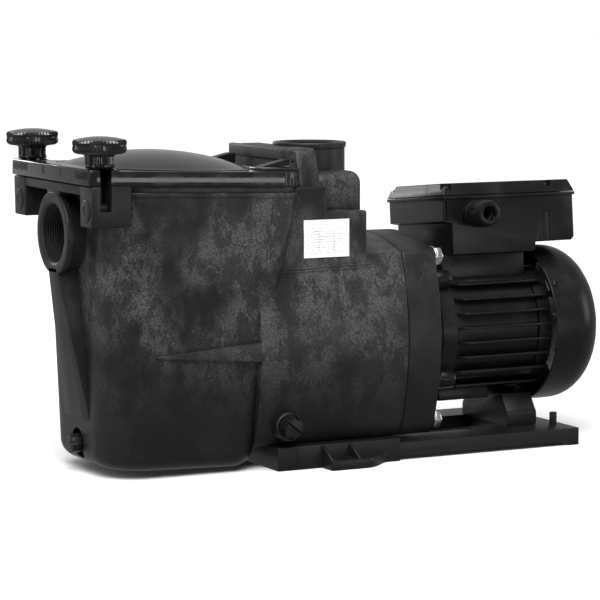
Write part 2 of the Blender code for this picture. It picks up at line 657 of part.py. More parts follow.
def cooling_fan(shaft_line):
    fan = turned("hub", [(0.0083, 0.5350), (0.0150, 0.5350), (0.0150, 0.5440), (0.0400, 0.5440),
                         (0.0400, 0.5465), (0.0150, 0.5465), (0.0150, 0.5540), (0.0083, 0.5540)][::-1],
                 shaft_line, steps=16, closed=True)
    for i in range(6):
        turn = radians(60 * i + 15)
        blade = box("blade", (0.0120, -0.0010, 0.5310), (0.0660, 0.0010, 0.5580), None)
        place(blade, shaft_line, (0.0390 * cos(turn), 0.0390 * sin(turn), 0.5445), (0, 0, turn))
        join(fan, blade)
    return part(fan, "cooling_fan", GREY_PLASTIC)


def bearing(name, start, shaft_line):
    ring = turned("ring", [(0.0121, start), (0.0200, start), (0.0200, start + 0.0110),
                           (0.0121, start + 0.0110)][::-1], shaft_line, steps=16, closed=True)
    part(ring, name, STEEL)


# ---------------------------------------------------------------- motor
def motor_bolt_places():
    offset = MOTOR_BOLT_OFFSET
    return [(-offset, offset), (offset, offset), (-offset, -offset), (offset, -offset)]


def motor_frame(motor, motor_line):
    frame = cylinder("barrel", BARREL_RADIUS + 0.0015, FRAME_START, FIN_START, ROUND_STEPS, motor_line)
    join(frame, cylinder("barrel_rear", BARREL_RADIUS, FIN_START - 0.002, FRAME_END, ROUND_STEPS,
                         motor_line))
    for i in range(-4, 5):
        rise = i * FIN_PITCH
        half = sqrt(FIN_RADIUS ** 2 - (abs(rise) + FIN_THICKNESS / 2) ** 2)
        join(frame, box("fin", (FIN_START, -half, rise - FIN_THICKNESS / 2),
                        (FIN_END, half, rise + FIN_THICKNESS / 2), motor))
    join(frame, box("box_pad", (0.4060, -0.0440, 0.040), (0.5030, 0.0440, 0.0743), motor))
    join(frame, box("foot_pad", (0.4060, -0.0260, -0.0738), (0.4640, 0.0260, -0.050), motor))
    for y, z in motor_bolt_places():
        join(frame, cylinder("ear", 0.0095, FRAME_START, 0.4080, SMALL_STEPS, motor, (0, y, z), ALONG_X))
    carve(frame, cylinder("stator_bore", 0.0595, 0.385, 0.520, ROUND_STEPS, motor_line))
    carve(frame, cylinder("shield_clearance", 0.0668, FRAME_END, 0.530, ROUND_STEPS, motor_line))
    for y, z in motor_bolt_places():
        carve(frame, cylinder("bolt_bore", 0.0034, 0.385, 0.420, SMALL_STEPS, motor, (0, y, z), ALONG_X))
    return part(frame, "motor_frame", SATIN_BLACK)


def end_shields(motor, motor_line):
    front = turned("front", [(0.0140, PLATE_REAR + GAP), (0.0650, PLATE_REAR + GAP), (0.0650, 0.3920),
                             (0.0590, 0.3920), (0.0590, 0.3860), (0.0260, 0.3860), (0.0260, 0.3960),
                             (0.0203, 0.3960), (0.0203, 0.3780), (0.0140, 0.3780)][::-1], motor_line,
                   closed=True)
    for y, z in motor_bolt_places():
        join(front, cylinder("ear", 0.0095, PLATE_REAR + GAP, 0.3920, SMALL_STEPS, motor, (0, y, z),
                             ALONG_X))
    for y, z in motor_bolt_places():
        carve(front, cylinder("bolt_bore", 0.0034, 0.370, 0.400, SMALL_STEPS, motor, (0, y, z), ALONG_X))
    part(front, "front_end_shield", SATIN_BLACK)
    rear = turned("rear", [(0.0140, 0.5290), (0.0203, 0.5290), (0.0660, 0.5200), (0.0660, FRAME_END + GAP),
                           (0.0590, FRAME_END + GAP), (0.0590, 0.5120), (0.0260, 0.5180),
                           (0.0260, 0.5090), (0.0203, 0.5090), (0.0203, 0.5250), (0.0140, 0.5250)],
                  motor_line, closed=True)
    for angle in COVER_SCREW_ANGLES:
        lug = box("lug", (0.5157, -0.0060, 0.0600), (0.5290, 0.0060, 0.0763), None)
        spin = Matrix.Rotation(angle, 3, "X")
        place(lug, motor, spin @ Vector((0.52235, 0, 0.06815)), (angle, 0, 0))
        join(rear, lug)
    for angle in COVER_SCREW_ANGLES:
        carve(rear, cylinder("screw_bore", 0.0022, 0.0680, 0.0900, 12, motor, (0.5240, 0, 0), (angle, 0, 0)))
    part(rear, "rear_end_shield", SATIN_BLACK)


def fan_cover(motor, motor_line):
    core = COVER_RADIUS - COVER_SHOULDER
    center = LENGTH_END - COVER_SHOULDER
    bend = COVER_SHOULDER - 0.002
    turns = [radians(22.5 * i) for i in range(5)]
    outer = [(0, LENGTH_END)]
    outer += [(core + COVER_SHOULDER * sin(a), center + COVER_SHOULDER * cos(a)) for a in turns]
    inner = [(COVER_RADIUS - 0.002, COVER_START)]
    inner += [(core + bend * cos(a), center + bend * sin(a)) for a in turns]
    profile = outer + [(COVER_RADIUS, COVER_START)] + inner + [(0, LENGTH_END - 0.002)]
    cover = turned("cover", profile, motor_line)
    for i in range(8):
        turn = radians(45 * i)
        hole = box("grille_slot", (-0.012, -0.0050, -0.01), (0.012, 0.0050, 0.01), None)
        place(hole, motor_line, (0.030 * cos(turn), 0.030 * sin(turn), LENGTH_END), (0, 0, turn))
        carve(cover, hole)
    for angle in COVER_SCREW_ANGLES:
        carve(cover, cylinder("screw_hole", 0.0022, 0.0700, 0.0900, 12, motor, (0.5240, 0, 0),
                              (angle, 0, 0)))
    part(cover, "fan_cover", SATIN_BLACK)
    for number, angle in enumerate(COVER_SCREW_ANGLES):
        screw = turned("screw", [(0, 0.0820), (0.0022, 0.0818), (0.0036, 0.0808), (0.0036, 0.0804),
                                 (0.0018, 0.0804), (0.0018, 0.0700), (0, 0.0700)], motor,
                       (0.5240, 0, 0), (angle, 0, 0), 12)
        part(screw, "fan_cover_screw_%d" % (number + 1), STEEL)


def motor_bolts(motor):
    for number, (y, z) in enumerate(motor_bolt_places()):
        bolt = cylinder("bolt", 0.0030, 0.3600, 0.4090, 12, motor, (0, y, z), ALONG_X)
        join(bolt, cylinder("head", 0.0050, 0.4083, 0.4107, 12, motor, (0, y, z), ALONG_X))
        part(bolt, "motor_bolt_%d" % (number + 1), STEEL)


def stator(motor_line):
    ring = turned("core", [(0.0335, 0.4150), (0.0592, 0.4150), (0.0592, 0.4850), (0.0335, 0.4850)][::-1],
                  motor_line, closed=True)
    coil = [(0.0370, 0.5000), (0.0520, 0.5000), (0.0520, 0.4000), (0.0370, 0.4000)]
    windings = turned("windings", coil, motor_line, closed=True)
    return part(join(ring, windings), "stator", COPPER)


# ---------------------------------------------------------------- terminal box
def terminal_box(motor):
    outer = [(0.4040, 0.1335), (0.4040, 0.1080), (0.4130, 0.1060), (0.4130, 0.0746), (0.5075, 0.0746),
             (0.5095, 0.0760), (0.5110, 0.0840), (0.5530, 0.0840), (0.5565, 0.0875), (0.5565, 0.1335)]
    shell = outline("shell", outer, -BOX_SIDE, BOX_SIDE, motor, rotation=SIDE_VIEW)
    join(shell, box("lip", (0.4020, -0.0585, 0.1300), (0.5585, 0.0585, 0.1337), motor))
    inner = [(0.4070, 0.1400), (0.4070, 0.1110), (0.4160, 0.1090), (0.4160, 0.0776), (0.5060, 0.0776),
             (0.5075, 0.0870), (0.5535, 0.0870), (0.5535, 0.1400)]
    carve(shell, outline("inside", inner, -0.0535, 0.0535, motor, rotation=SIDE_VIEW))
    carve(shell, cylinder("gland_hole", 0.0103, 0.045, 0.070, 24, motor, (GLAND_X, 0, GLAND_RISE),
                          (pi / 2, 0, 0)))
    carve(shell, box("vent_slot", (0.5190, -0.0600, 0.080), (0.5280, -0.0550, 0.1150), motor))
    for x, y in cover_screw_places():
        join(shell, cylinder("screw_post", 0.0046, 0.1140, 0.1337, 12, motor, (x, y, 0)))
    for x, y in cover_screw_places():
        carve(shell, cylinder("post_bore", 0.0020, 0.1180, 0.140, 12, motor, (x, y, 0)))
    return part(shell, "terminal_box", SATIN_BLACK)


def cover_screw_places():
    return [(x, y) for x in (0.4100, 0.5270) for y in (-0.0510, 0.0510)]


def terminal_box_cover(motor):
    bm = bmesh.new()
    bmesh.ops.create_cube(bm, size=2)
    for vert in bm.verts:
        inset = 0.0050 if vert.co.z > 0 else 0.0
        x = 0.5585 - inset if vert.co.x > 0 else 0.4020 + inset
        y = (0.0585 - inset) * (1 if vert.co.y > 0 else -1)
        vert.co = (x, y, 0.1465 if vert.co.z > 0 else 0.1340)
    cover = place(mesh_object("lid", bm), motor)
    carve(cover, box("inside", (0.4080, -0.0450, 0.130), (0.5525, 0.0450, 0.1440), motor))
    for x, y in cover_screw_places():
        carve(cover, cylinder("recess", 0.0056, 0.1400, 0.150, 12, motor, (x, y, 0)))
        carve(cover, cylinder("hole", 0.0024, 0.130, 0.150, 12, motor, (x, y, 0)))
    part(cover, "terminal_box_cover", SATIN_BLACK)
    for number, (x, y) in enumerate(cover_screw_places()):
        screw = turned("screw", [(0, 0.1435), (0.0038, 0.1430), (0.0042, 0.1420), (0.0042, 0.1403),
                                 (0.0017, 0.1403), (0.0017, 0.1240), (0, 0.1240)], motor, (x, y, 0),
                       steps=12)
        part(screw, "cover_screw_%d" % (number + 1), STEEL)


def box_contents(motor):
    block = box("block", (0.4600, -0.0420, 0.0779), (0.4980, -0.0180, 0.0930), motor)
    for i in range(3):
        join(block, cylinder("stud", 0.0025, 0.0900, 0.1000, 8, motor, (0.4680 + 0.0110 * i, -0.0300, 0)))
    part(block, "terminal_block", GREY_PLASTIC)
    can = cylinder("can", 0.0170, 0.4200, 0.4900, 24, motor, (0, 0.0280, 0.0952), ALONG_X)
    join(can, cylinder("tag", 0.0060, 0.4880, 0.4960, 8, motor, (0, 0.0280, 0.0952), ALONG_X))
    part(can, "run_capacitor", GREY_PLASTIC)


def cable_gland(motor):
    """The gland stands on the side wall with its axis along local -Y."""
    place_at = (GLAND_X, 0, GLAND_RISE)
    out = (pi / 2, 0, 0)
    body = turned("body", [(0.0082, 0.0780), (0.0105, 0.0780), (0.0105, 0.0660), (0.0150, 0.0660),
                           (0.0150, 0.0568), (0.0100, 0.0568), (0.0100, 0.0500), (0.0082, 0.0500)],
                  motor, place_at, out, 24, closed=True)
    part(body, "gland_body", SATIN_BLACK)
    seal = turned("seal", [(0.0070, 0.0880), (0.0095, 0.0865), (0.0100, 0.0785), (0.0070, 0.0785)],
                  motor, place_at, out, 24, closed=True)
    part(seal, "gland_seal", RUBBER)
    nut = turned("nut", [(0.0078, 0.0950), (0.0115, 0.0950), (0.0130, 0.0930), (0.0135, 0.0700),
                         (0.0135, 0.0665), (0.0110, 0.0665), (0.0110, 0.0885), (0.0078, 0.0900)],
                 motor, place_at, out, 24, closed=True)
    part(nut, "gland_nut", SATIN_BLACK)


# ---------------------------------------------------------------- base, support, label
def pump_base(parent):
    front, end, half = BASE_FRONT, BASE_END, BASE_HALF
    base = box("rails", (front, -half, 0.0), (end, half, RAIL_TOP), parent)
    join(base, box("block", (front, -half - 0.0035, 0.0), (BASE_BLOCK_END, half + 0.0035, BASE_BLOCK_TOP),
                   parent))
    tab = [(0.2400, -0.0865), (0.2440, -TAB_HALF), (0.2840, -TAB_HALF), (0.2960, -0.1010),
           (0.3120, -0.0920), (0.3200, -0.0865), (0.3200, 0.0865), (0.3120, 0.0920), (0.2960, 0.1010),
           (0.2840, TAB_HALF), (0.2440, TAB_HALF), (0.2400, 0.0865)]
    join(base, outline("tabs", tab, 0.0, 0.0095, parent))
    for side in (-1, 1):
        for x in (0.2440, 0.2740):
            gusset = [(side * 0.080, 0.005), (side * 0.1085, 0.005), (side * 0.1085, 0.0100),
                      (side * 0.0880, 0.0222), (side * 0.080, 0.0222)]
            if side < 0:
                gusset.reverse()
            join(base, outline("gusset", gusset, x, x + 0.0030, parent, rotation=FRONT_VIEW))
        join(base, cylinder("peg", 0.0040, 0.010, 0.0300, 12, parent, (0.5310, side * 0.0520, 0)))
    carve(base, box("underside", (BASE_BLOCK_END, -0.2, -0.01), (0.5290, 0.2, 0.0040), parent))
    carve(base, box("window", (0.3500, -0.0420, -0.01), (0.4850, 0.0420, 0.03), parent))
    carve(base, box("front_recess", (0.2100, -0.0700, -0.01), (0.3200, 0.0700, 0.0120), parent))
    for side in (-1, 1):
        carve(base, cylinder("fixing_hole", 0.0050, -0.01, 0.03, 12, parent, (0.2630, side * 0.0985, 0)))
    return part(base, "pump_base", BLACK_PLASTIC)


def motor_support(parent):
    saddle = box("saddle", (0.4800, -0.0460, RAIL_TOP + GAP), (0.5145, 0.0460, 0.0500), parent)
    carve(saddle, cylinder("cradle", FIN_RADIUS + 0.0006, 0.45, 0.53, 48, parent, (0, 0, SHAFT_Z), ALONG_X))
    carve(saddle, box("saddle_window", (0.4950, -0.0300, 0.01), (0.52, 0.0300, 0.0360), parent))
    return part(saddle, "motor_support", BLACK_PLASTIC)


def rating_label(parent):
    label = box("label", (0.2262, -0.0840, 0.2052), (0.2755, -0.0835, 0.2418), parent)
    return part(label, "rating_label", LABEL)


# ---------------------------------------------------------------- assembly
clear_scene()
PARTS = collection("pool_pump")
TOOLS = collection("pool_pump_tools")

BLACK_PLASTIC = finish("moulded_black", (0.018, 0.018, 0.019), 0.55)
GLOSS_BLACK = finish("gloss_black", (0.012, 0.012, 0.013), 0.15)
SATIN_BLACK = finish("satin_black", (0.016, 0.016, 0.017), 0.38)
GREY_PLASTIC = finish("grey_plastic", (0.35, 0.36, 0.37), 0.5)
RUBBER = finish("rubber", (0.02, 0.02, 0.02), 0.8)
STEEL = finish("stainless", (0.62, 0.61, 0.59), 0.25, 1.0)
BRASS = finish("brass", (0.65, 0.47, 0.2), 0.3, 1.0)
COPPER = finish("winding", (0.5, 0.22, 0.1), 0.45, 0.6)
CERAMIC = finish("ceramic", (0.85, 0.83, 0.78), 0.3)
LABEL = finish("label_white", (0.85, 0.85, 0.84), 0.4)

ASSEMBLY = empty("assembly", None, (ORIGIN_SHIFT, 0, 0))
SHAFT_LINE = empty("shaft_line", ASSEMBLY, (0, 0, SHAFT_Z), ALONG_X)
MOTOR = empty("motor_turn", ASSEMBLY, (0, 0, SHAFT_Z), (MOTOR_TURN, 0, 0))
MOTOR_LINE = empty("motor_line", MOTOR, (0, 0, 0), ALONG_X)
LID_FRAME = empty("lid_frame", ASSEMBLY, (0, 0, RIM_Z + GAP), (0, atan(RIM_SLOPE), 0))

pump_housing(ASSEMBLY)
strainer_lid(LID_FRAME, ASSEMBLY)
lid_seal(LID_FRAME)
strainer_basket(ASSEMBLY)
clamp(-1, "right", ASSEMBLY)
clamp(1, "left", ASSEMBLY)
drain_plug("front", ASSEMBLY, (0.0310, 0, 0.0282), ALONG_X)
drain_plug("side", ASSEMBLY, (0.2050, -0.0930, 0.0440), (-pi / 2, 0, 0))

seal_plate(ASSEMBLY, SHAFT_LINE)
housing_bolts(ASSEMBLY)
gasket_ring = turned("ring", [(0.0768, 0.3338), (0.0797, 0.3338), (0.0797, 0.3370), (0.0768, 0.3370)][::-1],
                     SHAFT_LINE, closed=True)
part(gasket_ring, "housing_gasket", RUBBER)
diffuser(SHAFT_LINE)
impeller(SHAFT_LINE)
shaft_seal(SHAFT_LINE)
rotating_group(SHAFT_LINE)
cooling_fan(SHAFT_LINE)
bearing("front_bearing", 0.3782, SHAFT_LINE)
bearing("rear_bearing", 0.5130, SHAFT_LINE)

motor_frame(MOTOR, MOTOR_LINE)
end_shields(MOTOR, MOTOR_LINE)
stator(MOTOR_LINE)
motor_bolts(MOTOR)
fan_cover(MOTOR, MOTOR_LINE)
terminal_box(MOTOR)
terminal_box_cover(MOTOR)
box_contents(MOTOR)
cable_gland(MOTOR)

pump_base(ASSEMBLY)
motor_support(ASSEMBLY)
rating_label(ASSEMBLY)
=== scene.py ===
"""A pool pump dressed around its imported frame: housing, clamped lid, finned motor and base."""
import logging
from dataclasses import dataclass
from enum import Enum
from math import atan, cos, pi, radians, sin, sqrt

import bmesh
import bpy
from mathutils import Matrix, Vector


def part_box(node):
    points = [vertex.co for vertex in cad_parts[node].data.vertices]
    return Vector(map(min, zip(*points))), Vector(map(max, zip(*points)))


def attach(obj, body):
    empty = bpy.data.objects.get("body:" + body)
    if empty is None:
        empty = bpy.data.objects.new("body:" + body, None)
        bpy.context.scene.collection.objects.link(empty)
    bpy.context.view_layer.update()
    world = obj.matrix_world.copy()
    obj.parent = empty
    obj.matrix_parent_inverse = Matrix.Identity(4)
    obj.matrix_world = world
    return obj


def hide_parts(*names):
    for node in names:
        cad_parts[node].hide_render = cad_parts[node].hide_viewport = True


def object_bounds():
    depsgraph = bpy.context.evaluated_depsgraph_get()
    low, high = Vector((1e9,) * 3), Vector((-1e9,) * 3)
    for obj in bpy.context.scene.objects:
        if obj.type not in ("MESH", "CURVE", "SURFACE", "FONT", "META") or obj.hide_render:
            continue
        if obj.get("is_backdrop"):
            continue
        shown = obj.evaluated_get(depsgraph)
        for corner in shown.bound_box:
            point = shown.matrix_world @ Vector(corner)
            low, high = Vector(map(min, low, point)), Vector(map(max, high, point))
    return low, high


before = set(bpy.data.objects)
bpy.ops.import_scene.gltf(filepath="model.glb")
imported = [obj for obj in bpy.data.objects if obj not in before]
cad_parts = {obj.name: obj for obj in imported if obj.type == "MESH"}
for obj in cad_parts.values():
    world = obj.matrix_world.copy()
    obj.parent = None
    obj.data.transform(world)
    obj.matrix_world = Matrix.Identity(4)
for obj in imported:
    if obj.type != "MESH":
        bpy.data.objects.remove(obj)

Point = tuple[float, float]
Corner = tuple[float, float, float]
Color = tuple[float, float, float]

BODY = "pump_body"
GAP = 0.0003  # left between parts that sit on each other
ROUND, MEDIUM, SMALL = 96, 48, 24  # facets round a large, a middling and a small circle

SUCTION_FACE_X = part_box("pump_housing")[0].x
SHAFT_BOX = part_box("motor_shaft")
SHAFT_Z = (SHAFT_BOX[0].z + SHAFT_BOX[1].z) / 2
RIM_SLOPE = 0.0328  # fall of the tank rim towards the motor
RIM_Z = 0.2823  # its height at the suction face
DRAIN_Z = 0.0282
SIDE_DRAIN = (0.205, 0.044)  # distance from the suction face, and height
HINGE = (0.014, 0.0848, 0.259)  # where the left clamp's pin crosses its bolt
BOLT_SLOT_X = (0.00825, 0.01975)
BOLT_SLOT_Y = (0.0755, 0.12)
DOME_SEAT = 0.0948  # radius of the recess round the dome
THREAD_DEPTH = 0.0011
THREAD_PITCH = 0.0023
MOTOR_TURN = radians(-5.5)  # the motor sits turned on the shaft's line
PUMP_MIDDLE = (0, 0, 0.15)  # where the soft lights point

ASSEMBLY = Matrix.Translation((SUCTION_FACE_X, 0, 0))
TURN_TO_X = Matrix.Rotation(pi / 2, 4, "Y")
MOTOR = ASSEMBLY @ Matrix.Translation((0, 0, SHAFT_Z)) @ Matrix.Rotation(MOTOR_TURN, 4, "X")
LID_TILT = Matrix.Rotation(atan(RIM_SLOPE), 4, "Y")
LID_FRAME = ASSEMBLY @ Matrix.Translation((0, 0, RIM_Z + GAP)) @ LID_TILT
FRONT_VIEW = Matrix(((0, 0, 1, 0), (1, 0, 0, 0), (0, 1, 0, 0), (0, 0, 0, 1)))
SIDE_VIEW = Matrix.Rotation(pi / 2, 4, "X")


class Side(Enum):
    """The two sides of the pump, seen from the suction port."""

    RIGHT = -1
    LEFT = 1

    @property
    def label(self) -> str:
        """The side's name in node and body names."""
        return self.name.lower()

    def span(self, near: float, far: float) -> list[float]:
        """A stretch of Y on this side, in rising order."""
        return sorted((self.value * near, self.value * far))


class Slot(Enum):
    """The record's material slots."""

    MOULDED = "moulded_black"
    GLOSS = "gloss_black"
    SATIN = "satin_black"
    GREY = "grey_plastic"
    RUBBER = "rubber"
    STAINLESS = "stainless"
    BRASS = "brass"
    WINDING = "winding"
    CERAMIC = "ceramic"
    LABEL = "label_white"


# ---- shader graph
@dataclass(frozen=True)
class Wire:
    """A node's output that takes part in plain arithmetic."""

    graph: "Graph"
    socket: bpy.types.NodeSocket

    def _math(self, operation: str, *values: object) -> "Wire":
        """Add a Math node over the given values."""
        return self.graph.add("ShaderNodeMath", {"operation": operation}, dict(enumerate(values)))

    def __add__(self, other: object) -> "Wire":
        """Sum."""
        return self._math("ADD", self, other)

    def __sub__(self, other: object) -> "Wire":
        """Difference."""
        return self._math("SUBTRACT", self, other)

    def __rsub__(self, other: object) -> "Wire":
        """Difference, reflected."""
        return self._math("SUBTRACT", other, self)

    def __mul__(self, other: object) -> "Wire":
        """Product."""
        return self._math("MULTIPLY", self, other)

    __radd__ = __add__
    __rmul__ = __mul__

    def step(self, low: float, high: float) -> "Wire":
        """A smooth step from 0 at low to 1 at high."""
        settings = {"interpolation_type": "SMOOTHSTEP"}
        return self.graph.add("ShaderNodeMapRange", settings, {0: self, 1: low, 2: high})


class Graph:
    """The node tree of a material or a world, with its shader."""

    def __init__(self, owner: bpy.types.ID, shader: str = "Principled BSDF",
                 place: str = "Object") -> None:
        """Take over the node tree of a new material or world."""
        owner.use_nodes = True
        self.owner = owner
        self.tree = owner.node_tree
        self.shader = self.tree.nodes[shader]
        self.place = self.add("ShaderNodeTexCoord", output=place)

    def add(self, kind: str, settings: dict | None = None, inputs: dict | None = None,
            output: int | str = 0) -> Wire:
        """Add a node.

        Args:
            kind: The node's type.
            settings: Properties to set first.
            inputs: Values or wires for its sockets, by index or name.
            output: The output to return.

        Returns:
            The chosen output as a wire.
        """
        node = self.tree.nodes.new(kind)
        for key, value in (settings or {}).items():
            setattr(node, key, value)
        for key, value in (inputs or {}).items():
            if isinstance(value, Wire):
                self.tree.links.new(value.socket, node.inputs[key])
            else:
                node.inputs[key].default_value = value
        return Wire(self, node.outputs[output])

    def scaled(self, stretch: Corner) -> Wire:
        """Object coordinates stretched along each axis."""
        return self.add("ShaderNodeMapping", {}, {"Vector": self.place, "Scale": stretch})

    def along(self, axis: str) -> Wire:
        """One coordinate of the place being shaded."""
        return self.add("ShaderNodeSeparateXYZ", {}, {"Vector": self.place}, axis)

    def noise(self, scale: float, detail: float = 4.0, roughness: float = 0.55,
              distortion: float = 0.0, stretch: Corner = (1.0, 1.0, 1.0)) -> Wire:
        """Fractal noise in object space.

        Args:
            scale: Features per metre.
            detail: Number of octaves.
            roughness: Weight of the finer octaves.
            distortion: How far the pattern is dragged.
            stretch: Scale along each axis.

        Returns:
            The noise value, around 0.5.
        """
        inputs = {"Vector": self.scaled(stretch), "Scale": scale, "Detail": detail,
                  "Roughness": roughness, "Distortion": distortion}
        return self.add("ShaderNodeTexNoise", {}, inputs)

    def cells(self, scale: float) -> Wire:
        """Distance to the nearest cell centre."""
        inputs = {"Vector": self.scaled((1.0, 1.0, 1.0)), "Scale": scale}
        return self.add("ShaderNodeTexVoronoi", {}, inputs)

    def mix(self, mask: Wire, low: Color | Wire, high: Color) -> Wire:
        """A colour between low, plain or wired, and high."""
        under = low if isinstance(low, Wire) else (*low, 1.0)
        inputs = {0: mask, 6: under, 7: (*high, 1.0)}
        return self.add("ShaderNodeMix", {"data_type": "RGBA"}, inputs, output=2)

    def bump(self, height: Wire, depth: float, strength: float = 1.0) -> None:
        """Feed the shader's normal from a height."""
        inputs = {"Height": height, "Distance": depth, "Strength": strength}
        self.set(Normal=self.add("ShaderNodeBump", {}, inputs))

    def set(self, **values: object) -> None:
        """Set shader sockets; an underscore in a key stands for a space."""
        for key, value in values.items():
            socket = self.shader.inputs[key.replace("_", " ")]
            if isinstance(value, Wire):
                self.tree.links.new(value.socket, socket)
            else:
                socket.default_value = value


# ---- finishes
class Finish:
    """A look that paints its own material once."""

    made: dict[str, bpy.types.Material] = {}

    def material(self) -> bpy.types.Material:
        """Return the material, painting it the first time."""
        if self.name not in self.made:
            graph = Graph(bpy.data.materials.new(self.name))
            self.paint(graph)
            self.made[self.name] = graph.owner
        return self.made[self.name]


@dataclass(frozen=True)
class MouldedPlastic(Finish):
    """Glass-filled black plastic with flow marks, fine grain and a few scuffs; the marks fade out
    towards the bottom as painted shade.
    """

    name: str = "moulded_plastic"
    slot: Slot = Slot.MOULDED
    marks: float = 1.0
    base: Color = (0.006, 0.0058, 0.006)
    pale: Color = (0.062, 0.059, 0.06)

    def paint(self, graph: Graph) -> None:
        """Wire up the look."""
        fields = graph.noise(14.0, 3.0, stretch=(1.0, 1.0, 0.8)).step(0.34, 0.56)
        streaks = graph.noise(46.0, 10.0, 0.8, 0.25, (1.0, 1.0, 0.6)).step(0.47, 0.53)
        flecks = graph.noise(620.0, 3.0, 0.8).step(0.4, 0.58)
        # painted shade: rise fades the pale flow marks out low down, so the lower parts of the
        # moulding are painted darker
        rise = 0.08 + 0.92 * graph.along("Z").step(0.04, 0.17)
        flow_and_painted_shade = fields * (0.34 + 0.66 * streaks) * (0.22 + 0.78 * flecks) * rise * self.marks
        grain = graph.noise(900.0, 2.0)
        scuffs = graph.noise(60.0, 8.0, 0.7, 0.2, (6.0, 6.0, 0.6)).step(0.66, 0.72)
        color = graph.mix(flow_and_painted_shade, self.base, self.pale)
        color = graph.mix(scuffs * 0.22, color, self.pale)
        graph.set(Base_Color=color, Roughness=0.34 + 0.16 * flow_and_painted_shade + 0.08 * grain)
        graph.set(Specular_IOR_Level=0.3)
        graph.bump(grain * 0.4 + flow_and_painted_shade * 0.5 + graph.noise(220.0, 3.0) * 0.7, 0.00022, 0.55)


@dataclass(frozen=True)
class GlossPlastic(Finish):
    """Polished black plastic with faint handling haze."""

    name: str = "gloss_plastic"
    slot: Slot = Slot.GLOSS
    base: Color = (0.006, 0.006, 0.0065)
    roughness: float = 0.07

    def paint(self, graph: Graph) -> None:
        """Wire up the look."""
        haze = graph.noise(35.0, 5.0, 0.6, 0.4).step(0.42, 0.7)
        color = graph.mix(haze, self.base, tuple(2.2 * c for c in self.base))
        graph.set(Base_Color=color, Roughness=self.roughness + 0.1 * haze)
        graph.bump(graph.noise(120.0, 3.0), 0.00012, 0.3)


@dataclass(frozen=True)
class PowderCoat(Finish):
    """Satin black coating with a fine orange peel."""

    name: str = "powder_coat"
    slot: Slot = Slot.SATIN
    base: Color = (0.0045, 0.0045, 0.0048)
    roughness: float = 0.27

    def paint(self, graph: Graph) -> None:
        """Wire up the look."""
        peel = graph.noise(420.0, 3.0, 0.5)
        dust = graph.noise(28.0, 5.0, 0.65).step(0.48, 0.75)
        graph.set(Base_Color=graph.mix(dust, self.base, tuple(1.9 * c for c in self.base)))
        graph.set(Roughness=self.roughness + 0.14 * dust + 0.05 * peel, Specular_IOR_Level=0.25)
        graph.bump(peel, 0.00016, 0.5)


@dataclass(frozen=True)
class Metal(Finish):
    """Turned or drawn metal with fine tool marks."""

    name: str
    slot: Slot
    low: Color
    high: Color
    roughness: float = 0.22
    stretch: Corner = (1.0, 8.0, 8.0)

    def paint(self, graph: Graph) -> None:
        """Wire up the look."""
        lines = graph.noise(260.0, 4.0, 0.6, 0.0, self.stretch)
        stains = graph.noise(60.0, 4.0, 0.6).step(0.45, 0.7)
        graph.set(Base_Color=graph.mix(stains, self.high, self.low), Metallic=1.0)
        graph.set(Roughness=self.roughness + 0.16 * lines + 0.08 * stains)
        graph.bump(lines, 0.00008, 0.4)


@dataclass(frozen=True)
class Matt(Finish):
    """A plain matt substance such as rubber, engineering plastic or ceramic."""

    name: str
    slot: Slot
    low: Color
    high: Color
    roughness: float = 0.6

    def paint(self, graph: Graph) -> None:
        """Wire up the look."""
        blotches = graph.noise(90.0, 4.0, 0.6)
        speckle = graph.cells(810.0)
        graph.set(Base_Color=graph.mix(blotches.step(0.35, 0.65), self.low, self.high))
        graph.set(Roughness=self.roughness + 0.12 * blotches)
        graph.bump(blotches * 0.6 + speckle * 0.4, 0.00018, 0.4)


@dataclass(frozen=True)
class LabelFilm(Finish):
    """A white film label ruled into plain fields, with no lettering."""

    name: str = "label_film"
    slot: Slot = Slot.LABEL
    paper: Color = (0.7, 0.695, 0.675)
    ink: Color = (0.16, 0.16, 0.17)

    def paint(self, graph: Graph) -> None:
        """Wire up the look."""
        low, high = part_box("rating_label")
        across = (graph.along("X") - low.x) * (1.0 / (high.x - low.x))
        up = (graph.along("Z") - low.z) * (1.0 / (high.z - low.z))
        rules = self._repeat(graph, up, 7.0, 0.05)
        columns = self._repeat(graph, across, 3.0, 0.018)
        lines = 1.0 - (1.0 - rules * up.step(0.05, 0.06)) * (1.0 - columns * up.step(0.72, 0.7))
        header = up.step(0.86, 0.87) * across.step(0.05, 0.06) * across.step(0.95, 0.94)
        rows = self._repeat(graph, up + 0.5 / 14.0, 14.0, 0.34)
        blocks = graph.noise(900.0, 1.0, stretch=(1.0, 1.0, 0.25)).step(0.5, 0.53)
        fields = rows * blocks * across.step(0.06, 0.08) * across.step(0.92, 0.9)
        fields = fields * up.step(0.1, 0.12)
        mask = lines * 0.7 + fields * 0.75 * up.step(0.8, 0.78) + header * 0.25
        paper = graph.mix(mask, self.paper, self.ink)
        graph.set(Base_Color=paper, Roughness=0.34 + 0.1 * graph.noise(70.0, 3.0))
        graph.bump(graph.noise(300.0, 2.0), 0.00004, 0.3)

    @staticmethod
    def _repeat(graph: Graph, along: Wire, count: float, width: float) -> Wire:
        """Return a mask of thin lines repeated along a 0 to 1 value."""
        phase = graph.add("ShaderNodeMath", {"operation": "FRACT"}, {0: along * count})
        return phase.step(width + 0.01, width)


